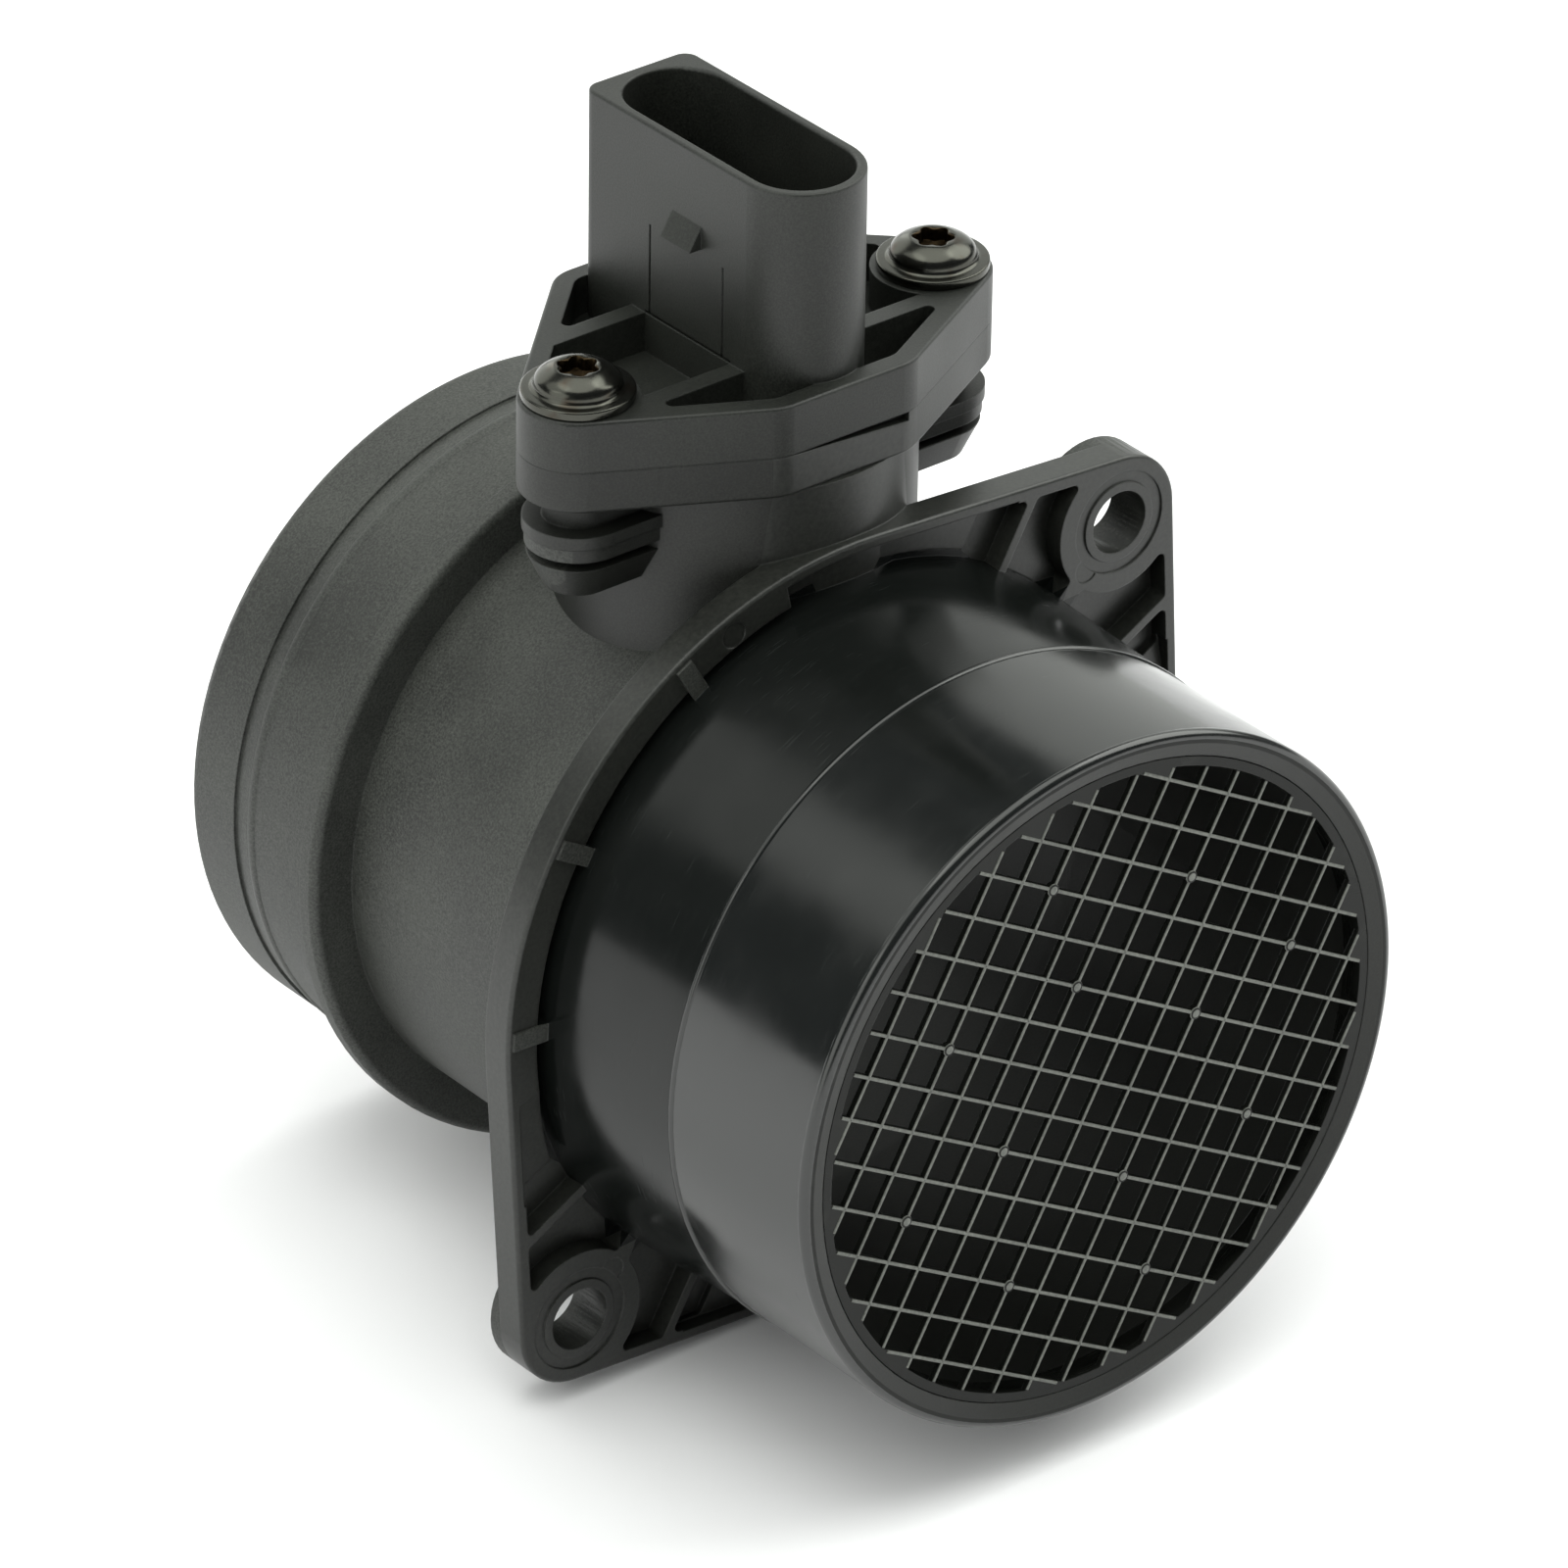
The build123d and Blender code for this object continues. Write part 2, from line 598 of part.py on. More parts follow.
def bypass_channel():
    """The hairpin channel and its mouth in the nose of the blade."""
    half = CHANNEL_W / 2
    leg = CHANNEL_TURN_Y - CHANNEL_START_Y
    turn = Circle(CHANNEL_PITCH / 2 + half) - Circle(CHANNEL_PITCH / 2 - half)
    turn &= Pos(CHANNEL_PITCH, 0) * Rectangle(2 * CHANNEL_PITCH, 4 * CHANNEL_PITCH)
    path = Pos(CHANNEL_TURN_Y, 0) * turn
    for side in (-1, 1):
        path += Pos(CHANNEL_TURN_Y - leg / 2, side * CHANNEL_PITCH / 2) * Rectangle(leg, CHANNEL_W)
    mouth = box_between((-MOUTH_T / 2, MOUTH_T / 2), (BLADE_FRONT, CHANNEL_START_Y),
                        (-CHANNEL_PITCH / 2 - half, -CHANNEL_PITCH / 2 + half))
    return cheek(path, CHANNEL_FLOOR_X, LID_X) + mouth


def circuit_pocket():
    """The pocket for the circuit, with a raised ledge under the terminal pads."""
    y_low, y_high = NECK_Y - POCKET_W / 2, NECK_Y + POCKET_W / 2
    low = box_between((POCKET_FLOOR_X, LID_X), (y_low, y_high), (POCKET_LOW, LEDGE_LOW))
    high = box_between((-PAD_FACE_X, LID_X), (y_low, y_high), (LEDGE_LOW, POCKET_HIGH))
    return low + high


def thermistor_recess():
    """The shallow recess on the -X face of the blade that the thermistor hangs in."""
    middle = (RECESS_LOW + RECESS_HIGH) / 2
    outline = Pos(NECK_Y, middle) * RectangleRounded(RECESS_W, RECESS_HIGH - RECESS_LOW, RECESS_R)
    return cheek(outline, -BLADE_T / 2, -BLADE_T / 2 + RECESS_DEPTH)


def holder_passage():
    """The slot between circuit pocket and channel that the element holder passes through."""
    side = HOLDER_W / 2 + HOLDER_CLEARANCE
    return box_between((PLATE_FACE_X - HOLDER_CLEARANCE, HOLDER_FACE_X + HOLDER_CLEARANCE),
                       (NECK_Y - side, NECK_Y + side), (0, POCKET_LOW))


def blade():
    """The probe blade with its channel, pockets and lid rebates."""
    body = box_between((-BLADE_T / 2, BLADE_T / 2), (BLADE_FRONT, BLADE_BACK), (BLADE_TIP, SEAT_Z))
    upright = body.edges().filter_by(Axis.Z).group_by(Axis.Y)
    body = fillet(upright[0], BLADE_NOSE_R)
    body = fillet(body.edges().filter_by(Axis.Z).group_by(Axis.Y)[-1], BLADE_TAIL_R)
    body -= bypass_channel() + circuit_pocket() + thermistor_recess() + holder_passage()
    rebates = bypass_lid_spot() * lid_outline(BYPASS_LID_L, BYPASS_LID_H)
    rebates += circuit_lid_spot() * lid_outline(POCKET_W + 2 * POCKET_RIM,
                                                POCKET_HIGH - POCKET_LOW + 2 * POCKET_RIM)
    return body - cheek(rebates, LID_X, BLADE_T / 2)


def lead_spots():
    """The heights where the two thermistor leads enter the blade."""
    middle = (RECESS_LOW + RECESS_HIGH) / 2
    return [middle - LEAD_SPAN / 2, middle + LEAD_SPAN / 2]


def sensor_carrier():
    """One moulding: socket, module flange, plug and blade, moulded round the terminals."""
    body = module_flange() + socket() + plug() + blade()
    for blade_terminal in terminals():
        body -= blade_terminal
    for lead in temperature_leads():
        body -= lead
    return body


def module_seal():
    """The seal ring, pressed to the shape of its groove."""
    inner_r = PLUG_R - SEAL_GROOVE_DEPTH + SEAL_CLEARANCE
    outer_r = NECK_BORE_R - SEAL_CLEARANCE
    section = Pos((inner_r + outer_r) / 2, SEAL_GROOVE_LOW + SEAL_GROOVE_H / 2) * Rectangle(
        outer_r - inner_r, SEAL_H)
    section = chamfer(section.vertices(), SEAL_CHAMFER)
    return Pos(0, NECK_Y) * revolve(Plane.XZ * section, Axis.Z)


def module_screw():
    """A washer-head screw with a six-lobe drive, seated at the height of the module flange."""
    head_z = MODULE_TOP + SCREW_WASHER_T
    top_z = head_z + SCREW_HEAD_H
    tip_z = MODULE_TOP - SCREW_LENGTH
    outline = make_face(Polyline(
        (0, tip_z), (SCREW_SHANK_R - SCREW_TIP_H / 2, tip_z), (SCREW_SHANK_R, tip_z + SCREW_TIP_H),
        (SCREW_SHANK_R, MODULE_TOP), (SCREW_WASHER_R, MODULE_TOP), (SCREW_WASHER_R, head_z),
        (SCREW_HEAD_R, head_z), (SCREW_HEAD_R, top_z), (0, top_z), close=True))
    outline = rounded(outline, (SCREW_HEAD_R, top_z), SCREW_DOME_R)
    outline = rounded(outline, (SCREW_WASHER_R, head_z), SCREW_WASHER_ROUND)
    lobes = PolarLocations(DRIVE_R, 6) * Circle(DRIVE_LOBE_R)
    drive = Circle(DRIVE_R) - lobes
    return revolve(Plane.XZ * outline, Axis.Z) - prism(drive, top_z - DRIVE_DEPTH, top_z)


def module_screws():
    """The two screws, as separate solids."""
    return [spot * module_screw() for spot in screw_spots()]


def bypass_cover():
    """The lid of the bypass channel, with the window that the measured air leaves by."""
    lid = bypass_lid_spot() * lid_outline(BYPASS_LID_L, BYPASS_LID_H, LID_CLEARANCE)
    window = Pos(CHANNEL_START_Y + OUTLET_L / 2, CHANNEL_PITCH / 2) * Rectangle(OUTLET_L, OUTLET_H)
    return cheek(lid - window, LID_X, BLADE_T / 2)


def electronics_cover():
    """The lid of the circuit pocket."""
    lid = circuit_lid_spot() * lid_outline(
        POCKET_W + 2 * POCKET_RIM, POCKET_HIGH - POCKET_LOW + 2 * POCKET_RIM, LID_CLEARANCE)
    return cheek(lid, LID_X, BLADE_T / 2)


def base_plate():
    """The aluminium plate on the floor of the circuit pocket."""
    side = POCKET_W / 2 - PLATE_GAP
    return box_between((POCKET_FLOOR_X, PLATE_FACE_X), (NECK_Y - side, NECK_Y + side),
                       (POCKET_LOW + PLATE_GAP, BASE_PLATE_TOP))


def hybrid_board():
    """The ceramic board on the base plate."""
    return box_between((PLATE_FACE_X, BOARD_FACE_X), (NECK_Y - BOARD_W / 2, NECK_Y + BOARD_W / 2),
                       (BOARD_LOW, BOARD_TOP))


def on_board(y, z, length_y, length_z, thickness):
    """A block that sits on the face of the board."""
    return box_between((BOARD_FACE_X, BOARD_FACE_X + thickness), (y - length_y / 2, y + length_y / 2),
                       (z - length_z / 2, z + length_z / 2))


def evaluation_chip():
    """The packaged signal chip."""
    return on_board(NECK_Y, CHIP_Z, CHIP_SIZE, CHIP_SIZE, CHIP_T)


def capacitors():
    """Two pairs of chip capacitors beside and below the signal chip."""
    return [
        on_board(NECK_Y + side * CAPACITOR_OFFSET_Y, z, CAPACITOR_W, CAPACITOR_L, CAPACITOR_T)
        for z in CAPACITOR_ROWS
        for side in (-1, 1)
    ]


def bond_ribbons():
    """A looped ribbon from each terminal pad down to the board."""
    ribbons = []
    middle_z = (RIBBON_TERMINAL_Z + RIBBON_BOARD_Z) / 2
    loop_r = (RIBBON_TERMINAL_Z - RIBBON_BOARD_Z) / 2
    arch = Circle(loop_r + RIBBON_T / 2) - Circle(loop_r - RIBBON_T / 2)
    arch &= Pos(loop_r, 0) * Rectangle(2 * loop_r, 4 * loop_r)
    arch = Pos(PAD_FACE_X, middle_z) * arch
    foot_x = (BOARD_FACE_X + PAD_FACE_X) / 2
    arch += Pos(foot_x, RIBBON_BOARD_Z) * Rectangle(PAD_FACE_X - BOARD_FACE_X, RIBBON_T)
    for number in range(TERMINAL_COUNT):
        y = NECK_Y + (number - (TERMINAL_COUNT - 1) / 2) * PAD_PITCH
        ribbons.append(slab(arch, y - RIBBON_W / 2, y + RIBBON_W / 2))
    return ribbons


def element_blank(clearance=0.0):
    """The measuring element, or its recess, flush with the face of the holder."""
    side = ELEMENT_W / 2 + clearance
    low = HOLDER_LOW + ELEMENT_RISE
    return box_between((HOLDER_FACE_X - ELEMENT_T, HOLDER_FACE_X), (NECK_Y - side, NECK_Y + side),
                       (low - clearance, low + ELEMENT_L + clearance))


def sensor_holder():
    """The tongue that reaches from the base plate into the channel."""
    tongue = box_between((PLATE_FACE_X, HOLDER_FACE_X), (NECK_Y - HOLDER_W / 2, NECK_Y + HOLDER_W / 2),
                         (HOLDER_LOW, HOLDER_TOP))
    return tongue - element_blank(HOLDER_CLEARANCE)


def temperature_bead():
    """The glass bead of the thermistor, domed at both ends and drilled by its leads."""
    middle = (RECESS_LOW + RECESS_HIGH) / 2
    straight = BEAD_L - 2 * BEAD_R
    bead = Cylinder(BEAD_R, straight) + [Pos(0, 0, side * straight / 2) * Sphere(BEAD_R) for side in (-1, 1)]
    bead = Pos(BEAD_X, NECK_Y, middle) * bead
    for lead in temperature_leads():
        bead -= lead
    return bead


def temperature_leads():
    """Two bent wires that carry the bead clear of the recess floor."""
    floor = -BLADE_T / 2 + RECESS_DEPTH
    middle = (RECESS_LOW + RECESS_HIGH) / 2
    reach = BEAD_L / 2 - BEAD_R / 2
    leads = []
    for z, side in zip(lead_spots(), (-1, 1)):
        route = FilletPolyline((BEAD_X, NECK_Y, middle + side * reach), (BEAD_X, NECK_Y, z),
                               (floor + LEAD_ROOT, NECK_Y, z), radius=2 * LEAD_R)
        leads.append(sweep(Plane(route @ 0, z_dir=route % 0) * Circle(LEAD_R), path=route))
    return leads


PIECES = {
    "duct_housing": duct_housing,
    "inlet_grille": inlet_grille,
    "sensor_carrier": sensor_carrier,
    "module_seal": module_seal,
    "module_screws": module_screws,
    "bypass_cover": bypass_cover,
    "electronics_cover": electronics_cover,
    "base_plate": base_plate,
    "hybrid_board": hybrid_board,
    "evaluation_chip": evaluation_chip,
    "capacitors": capacitors,
    "bond_ribbons": bond_ribbons,
    "sensor_holder": sensor_holder,
    "sensor_element": element_blank,
    "temperature_bead": temperature_bead,
    "temperature_leads": temperature_leads,
}

for name, make in PIECES.items():
    piece = make()
    if isinstance(piece, list):
        piece = Compound(children=[solid for item in piece for solid in item.solids()])
    export_step(piece, f"parts/{name}.step")

for number, piece in enumerate(terminals(), start=1):
    export_step(piece, f"parts/terminal_{number}.step")
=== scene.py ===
"""A mass airflow sensor dressed for the camera: a plug-in sensor module on a moulded flow duct.

Lengths are in metres unless a name or a comment says millimetres. Every piece keeps the place
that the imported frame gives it.
"""

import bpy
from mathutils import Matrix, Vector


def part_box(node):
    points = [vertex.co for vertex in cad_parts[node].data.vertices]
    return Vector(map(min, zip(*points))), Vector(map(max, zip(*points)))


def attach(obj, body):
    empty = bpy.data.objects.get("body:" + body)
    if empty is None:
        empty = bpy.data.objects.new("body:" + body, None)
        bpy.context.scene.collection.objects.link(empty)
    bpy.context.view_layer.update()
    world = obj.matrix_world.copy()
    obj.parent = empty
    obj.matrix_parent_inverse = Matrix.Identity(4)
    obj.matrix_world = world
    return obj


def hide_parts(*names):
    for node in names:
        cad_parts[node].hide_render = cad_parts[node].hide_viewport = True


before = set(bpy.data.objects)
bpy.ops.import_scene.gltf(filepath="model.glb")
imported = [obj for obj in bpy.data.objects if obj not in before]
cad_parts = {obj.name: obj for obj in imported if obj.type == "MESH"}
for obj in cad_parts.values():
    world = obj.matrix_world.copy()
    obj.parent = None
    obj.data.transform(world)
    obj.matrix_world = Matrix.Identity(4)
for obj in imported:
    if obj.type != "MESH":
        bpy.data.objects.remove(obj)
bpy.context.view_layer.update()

import logging
import math
from collections.abc import Callable
from dataclasses import dataclass
from enum import Enum
from typing import Any

import bpy
import numpy as np
from mathutils import Matrix, Vector

MM = 0.001
BODY = "root"
WELD_DISTANCE = 0.0005 * MM
SHARP_ANGLE = math.radians(40)
BEVEL_RAYS = 4
CLOUD_SPAN = (0.3, 0.7)
LOG = logging.getLogger("airflow_sensor")

Colour = tuple[float, float, float, float]
Span = tuple[float, float]
Material = bpy.types.Material
Piece = bpy.types.Object
Socket = bpy.types.NodeSocket
Tree = bpy.types.NodeTree


def linear(hex_code: str) -> Colour:
    """Turns an sRGB hex colour into the linear colour that the shaders take.

    Args:
        hex_code: Six hex digits after a hash sign.

    Returns:
        Red, green, blue and an alpha of one.
    """
    parts = [int(hex_code[place:place + 2], 16) / 255 for place in (1, 3, 5)]
    red, green, blue = (
        part / 12.92 if part <= 0.04045 else ((part + 0.055) / 1.055) ** 2.4 for part in parts
    )
    return red, green, blue, 1.0


def compass(azimuth: float, elevation: float) -> Vector:
    """Turns a compass angle from the inlet side and a height angle into a direction.

    Args:
        azimuth: Angle about the Z axis, in degrees.
        elevation: Angle over the horizon, in degrees.

    Returns:
        A vector one long, from the object outwards.
    """
    turn, rise = math.radians(azimuth), math.radians(elevation)
    level = math.cos(rise)
    return Vector((math.sin(turn) * level, -math.cos(turn) * level, math.sin(rise)))


def add(tree: Tree, kind: str, inputs: dict[int | str, Any] | None = None,
        **settings: Any) -> bpy.types.Node:
    """Adds a node with its settings, its values and its links.

    Args:
        tree: The shader or geometry tree that gets the node.
        kind: Blender's name for the type of node.
        inputs: What goes into each socket, by name or number: a value, or the socket to link from.
        **settings: Properties of the node itself.

    Returns:
        The new node.
    """
    node = tree.nodes.new(kind)
    for name, value in settings.items():
        setattr(node, name, value)
    for key, value in (inputs or {}).items():
        if isinstance(value, bpy.types.NodeSocket):
            tree.links.new(value, node.inputs[key])
        else:
            node.inputs[key].default_value = value
    return node


def calculate(tree: Tree, operation: str, *values: Any) -> Socket:
    """Adds one sum.

    Args:
        tree: The tree that gets the sum.
        operation: Blender's name for the kind of sum.
        *values: What it works on.

    Returns:
        The result.
    """
    return add(tree, "ShaderNodeMath", dict(enumerate(values)), operation=operation).outputs[0]


def vector(tree: Tree, **parts: Any) -> Socket:
    """Makes a vector from its parts.

    Args:
        tree: The tree that gets the vector.
        **parts: What goes into X, Y and Z. A part left out is zero.

    Returns:
        The vector.
    """
    return add(tree, "ShaderNodeCombineXYZ", parts).outputs[0]


def noise(tree: Tree, place: Socket, size: float, detail: float, **more: float) -> Socket:
    """Adds soft noise.

    Args:
        tree: The material's tree.
        place: Where the noise is read.
        size: How large its clouds are.
        detail: How many finer layers it has.
        **more: Further inputs of the node.

    Returns:
        The noise, about one half.
    """
    inputs = {"Vector": place, "Scale": 1 / size, "Detail": detail, **more}
    return add(tree, "ShaderNodeTexNoise", inputs).outputs["Fac"]


def stretched(tree: Tree, place: Socket, *lengths: float) -> Socket:
    """Draws a pattern out along the axes.

    Args:
        tree: The material's tree.
        place: Where the pattern is read.
        *lengths: How long one cloud is along X, Y and Z, in millimetres.

    Returns:
        The drawn-out place, for noise of size one.
    """
    scale = tuple(1 / (length * MM) for length in lengths)
    return add(tree, "ShaderNodeMapping", {"Vector": place, "Scale": scale}).outputs["Vector"]


def remap(tree: Tree, value: Socket, span: Span, onto: Span = (0.0, 1.0)) -> Socket:
    """Maps a value from one span onto another and holds it inside.

    Args:
        tree: The material's tree.
        value: The value to map.
        span: Where it comes from.
        onto: Where it goes.

    Returns:
        The mapped value.
    """
    inputs = {"Value": value, "From Min": span[0], "From Max": span[1],
              "To Min": onto[0], "To Max": onto[1]}
    return add(tree, "ShaderNodeMapRange", inputs).outputs["Result"]


def around(middle: float, share: float) -> Span:
    """Gives the span that reaches a share of a value to either side of it.

    Args:
        middle: The value.
        share: The share.

    Returns:
        Both ends.
    """
    return middle * (1 - share), middle * (1 + share)


def blend(tree: Tree, share: Socket, colour: str, other: str) -> Socket:
    """Blends two hex colours.

    Args:
        tree: The material's tree.
        share: How much of the second colour shows.
        colour: The first colour.
        other: The second colour.

    Returns:
        The blended colour.
    """
    inputs = {"Factor": share, 6: linear(colour), 7: linear(other)}
    return add(tree, "ShaderNodeMix", inputs, data_type="RGBA").outputs[2]


def blank_material(name: str) -> tuple[Material, Tree, Socket]:
    """Makes a material with nothing in it but the object's own coordinates.

    Args:
        name: What the material is called.

    Returns:
        The material, its tree and the coordinates.
    """
    material = bpy.data.materials.new(name)
    material.use_nodes = True
    material.node_tree.nodes.clear()
    place = add(material.node_tree, "ShaderNodeTexCoord").outputs["Object"]
    return material, material.node_tree, place


def close_surface(tree: Tree, looks: dict[str, Any], height: Socket, depth: float,
                  edge_radius: float = 0.0, strength: float = 1.0) -> None:
    """Ends a material with its relief, its shader and its output.

    Args:
        tree: The material's tree.
        looks: The shader's own inputs.
        height: The pattern of the relief.
        depth: How deep the relief is, in millimetres.
        edge_radius: How far edges look rounded, in millimetres. Zero leaves them alone.
        strength: How much of the relief shows.
    """
    inputs = {"Height": height, "Distance": depth * MM, "Strength": strength}
    if edge_radius:
        edges = add(tree, "ShaderNodeBevel", {"Radius": edge_radius * MM}, samples=BEVEL_RAYS)
        inputs["Normal"] = edges.outputs["Normal"]
    relief = add(tree, "ShaderNodeBump", inputs)
    shader = add(tree, "ShaderNodeBsdfPrincipled", {**looks, "Normal": relief.outputs["Normal"]})
    add(tree, "ShaderNodeOutputMaterial", {"Surface": shader.outputs["BSDF"]})


class MouldSteel(Enum):
    """How the mould was finished, as grain width in mm, grain depth in mm and roughness."""

    SPARK_ERODED = (0.26, 0.024, 0.54)
    FINE_ERODED = (0.22, 0.013, 0.46)
    DRAWN = (0.45, 0.006, 0.36)


@dataclass(frozen=True)
class MouldedPbt:
    """Glass-filled PBT as its mould leaves it: a dark grey that takes the texture of the steel.

    The glass near the skin shows as faint pale flecks and the resin flows in soft clouds, so the
    eye sees a grain, a mottle and edges that are a shade lighter than the faces. Lengths are in
    millimetres.
    """

    name: str
    colour: str
    fleck: str
    steel: MouldSteel
    fleck_share: float = 0.66
    fleck_full: float = 0.78
    mottle: float = 0.45
    cloud_size: float = 14.0
    edge_radius: float = 0.24
    sheen_change: float = 0.10
    ior: float = 1.50

    def material(self) -> Material:
        """Builds the material.

        Returns:
            The material.
        """
        grain, depth, roughness = self.steel.value
        material, tree, place = blank_material(self.name)
        clouds = noise(tree, place, self.cloud_size * MM, detail=3.0)
        pits = noise(tree, place, grain * MM, detail=2.5, Roughness=0.7)
        mottle = calculate(tree, "MULTIPLY_ADD", clouds, self.mottle, pits)
        middle = self.mottle / 2
        flecks = remap(tree, mottle, (1 - self.fleck_share + middle, self.fleck_full + middle))
        rough = remap(tree, clouds, CLOUD_SPAN, around(roughness, self.sheen_change))
        skin = blend(tree, flecks, self.colour, self.fleck)
        looks = {"Base Color": skin, "Roughness": rough, "IOR": self.ior}
        close_surface(tree, looks, pits, depth, self.edge_radius)
        return material


@dataclass(frozen=True)
class PolishedPbt:
    """The same PBT against polished steel: near black and glossy, with fine handling scratches.

    The scratches run round the spigot, where hoses and gauges have been slid on and turned.
    Lengths are in millimetres.
    """

    name: str
    colour: str
    scratch: str
    roughness: float
    ior: float
    scratch_width: float = 0.12
    scratch_run: float = 3.5
    scratch_span: Span = (0.61, 0.80)
    scratch_dulling: float = 0.10
    ripple_size: float = 9.0
    ripple_span: Span = (0.35, 0.65)
    ripple_depth: float = 0.004
    edge_radius: float = 0.15
    sheen_change: float = 0.20

    def material(self) -> Material:
        """Builds the material.

        Returns:
            The material.
        """
        material, tree, place = blank_material(self.name)
        along = stretched(tree, place, self.scratch_run, self.scratch_width, self.scratch_run)
        marks = remap(tree, noise(tree, along, 1.0, detail=2.0), self.scratch_span)
        ripples = noise(tree, place, self.ripple_size * MM, detail=2.0)
        rough = remap(tree, ripples, self.ripple_span, around(self.roughness, self.sheen_change))
        rough = calculate(tree, "MULTIPLY_ADD", marks, self.scratch_dulling, rough)
        skin = blend(tree, marks, self.colour, self.scratch)
        looks = {"Base Color": skin, "Roughness": rough, "IOR": self.ior}
        close_surface(tree, looks, ripples, self.ripple_depth, self.edge_radius)
        return material


@dataclass(frozen=True)
class Metal:
    """A plated, rolled or drawn metal: a coloured reflection broken by marks of its working.

    Lengths are in millimetres.
    """

    name: str
    colour: str
    stain: str
    roughness: float
    mark_width: float
    mark_run: float
    stain_size: float = 2.5
    stain_share: float = 0.45
    stain_full: float = 0.75
    smoothest: float = 0.8
    roughest: float = 1.3
    mark_depth: float = 0.002
    mark_strength: float = 0.6
    edge_radius: float = 0.12

    def material(self) -> Material:
        """Builds the material.

        Returns:
            The material.
        """
        material, tree, place = blank_material(self.name)
        patches = noise(tree, place, self.stain_size * MM, detail=4.0)
        share = remap(tree, patches, (1 - self.stain_share, self.stain_full))
        drawn = stretched(tree, place, self.mark_width, self.mark_width, self.mark_run)
        marks = noise(tree, drawn, 1.0, detail=2.0)
        rough = remap(tree, marks, CLOUD_SPAN,
                      (self.roughness * self.smoothest, self.roughness * self.roughest))
        skin = blend(tree, share, self.colour, self.stain)
        looks = {"Base Color": skin, "Roughness": rough, "Metallic": 1.0}
        close_surface(tree, looks, marks, self.mark_depth, self.edge_radius, self.mark_strength)
        return material


@dataclass(frozen=True)
class Speckled:
    """A small electrical material, such as rubber, ceramic, resin or glass, with its own grain.

    Lengths are in millimetres.
    """

    name: str
    colour: str
    speck: str
    roughness: float
    grain: float
    relief: float
    ior: float = 1.5
    speck_span: Span = (0.5, 0.75)
    sheen_change: float = 0.15

    def material(self) -> Material:
        """Builds the material.

        Returns:
            The material.
        """
        material, tree, place = blank_material(self.name)
        grain = noise(tree, place, self.grain * MM, detail=3.0)
        rough = remap(tree, grain, CLOUD_SPAN, around(self.roughness, self.sheen_change))
        skin = blend(tree, remap(tree, grain, self.speck_span), self.colour, self.speck)
        looks = {"Base Color": skin, "Roughness": rough, "IOR": self.ior}
        close_surface(tree, looks, grain, self.relief)
        return material


# Textured duct skin: dull dark grey with a pale speckle that the top light picks out
DUCT_SKIN = MouldedPbt("pbt_spark_eroded_duct", "#1b1c1a", "#434541", MouldSteel.SPARK_ERODED)
# Neck skin: a finer texture than the tube's, so it looks smoother and a shade darker
NECK_SKIN = MouldedPbt("pbt_fine_eroded_neck", "#10110f", "#272825", MouldSteel.FINE_ERODED,
                       ior=1.46)
# Flange skin: the same resin off plain drawn steel, so darker and with a soft sheen
FLANGE_SKIN = MouldedPbt("pbt_satin_flange", "#1a1b19", "#2c2d2a", MouldSteel.DRAWN)
# Spigot skin: polished steel leaves it near black, with clear soft reflections
SPIGOT_SKIN = PolishedPbt("pbt_polished_spigot", "#0e100f", "#1c1e1d", 0.17, 1.64)
# Flare skin: the same steel, less rubbed by hoses, so its shine is softer
FLARE_SKIN = PolishedPbt("pbt_polished_flare", "#0e100f", "#1c1e1d", 0.20, 1.38)
# Lip skin: the parting face of the mould, dulled where the grille has been pressed in
LIP_SKIN = PolishedPbt("pbt_dulled_lip", "#111210", "#1f211e", 0.28, 1.28)
# Bore skin: the core pin is only blasted, so the inside of the duct is matt
BORE_SKIN = MouldedPbt("pbt_matt_bore", "#121311", "#1e1f1c", MouldSteel.FINE_ERODED, ior=1.42)
# Module skin: finer erosion than the duct, so an even matt charcoal
MODULE_SKIN = MouldedPbt("pbt_fine_eroded_module", "#121311", "#2a2c28", MouldSteel.FINE_ERODED,
                         ior=1.48)
# Grille crowns: a lighter grey than the rest of the grille, a painted highlight along each bar's
# front and on each pad
GRILLE_CROWN_PAINTED_HIGHLIGHT = MouldedPbt("pbt_grey_grille_painted_highlight", "#4c4e49", "#6c6e68", MouldSteel.DRAWN,
                         edge_radius=0.08)
# Grille body and ring: the same grade off polished steel, painted near black, a painted shade on
# the bar sides and the ring where no crown lies
GRILLE_PAINTED_SHADE = PolishedPbt("pbt_grille_painted_shade", "#121311", "#1f201d", 0.26, 1.27)
# Screws: zinc plated and passivated black, with brown where the oil has dried
BLACK_ZINC = Metal("steel_black_zinc", "#4a4a45", "#403830", 0.20, 0.10, 0.6)
# Screw drives: the plating is thin in the recess, so it has browned
BROWNED_STEEL = Metal("steel_browned_recess", "#3c3122", "#14100c", 0.36, 0.20, 0.3,
                      stain_size=0.5)
# Terminals: brass strip plated with bright tin
TINNED_BRASS = Metal("brass_tin_plated", "#c9c6bd", "#b0aa98", 0.24, 0.05, 1.6)
# Base plate: rolled aluminium, left bare
ROLLED_ALUMINIUM = Metal("aluminium_rolled", "#c5c8ca", "#aab0b3", 0.30, 0.06, 4.0)
# Bond ribbons: soft pure aluminium with a bright drawn face
RIBBON_ALUMINIUM = Metal("aluminium_bond_ribbon", "#d8dadb", "#c2c4c6", 0.18, 0.03, 1.0)
# Thermistor leads: nickel wire
NICKEL_WIRE = Metal("nickel_drawn_wire", "#b9b3a6", "#9c9588", 0.25, 0.04, 1.2)
# Seal ring: fluorosilicone rubber, dull green, with talc left from the mould
SEAL_RUBBER = Speckled("fluorosilicone_seal", "#2f5a3c", "#44705a", 0.62, 0.35, 0.010)
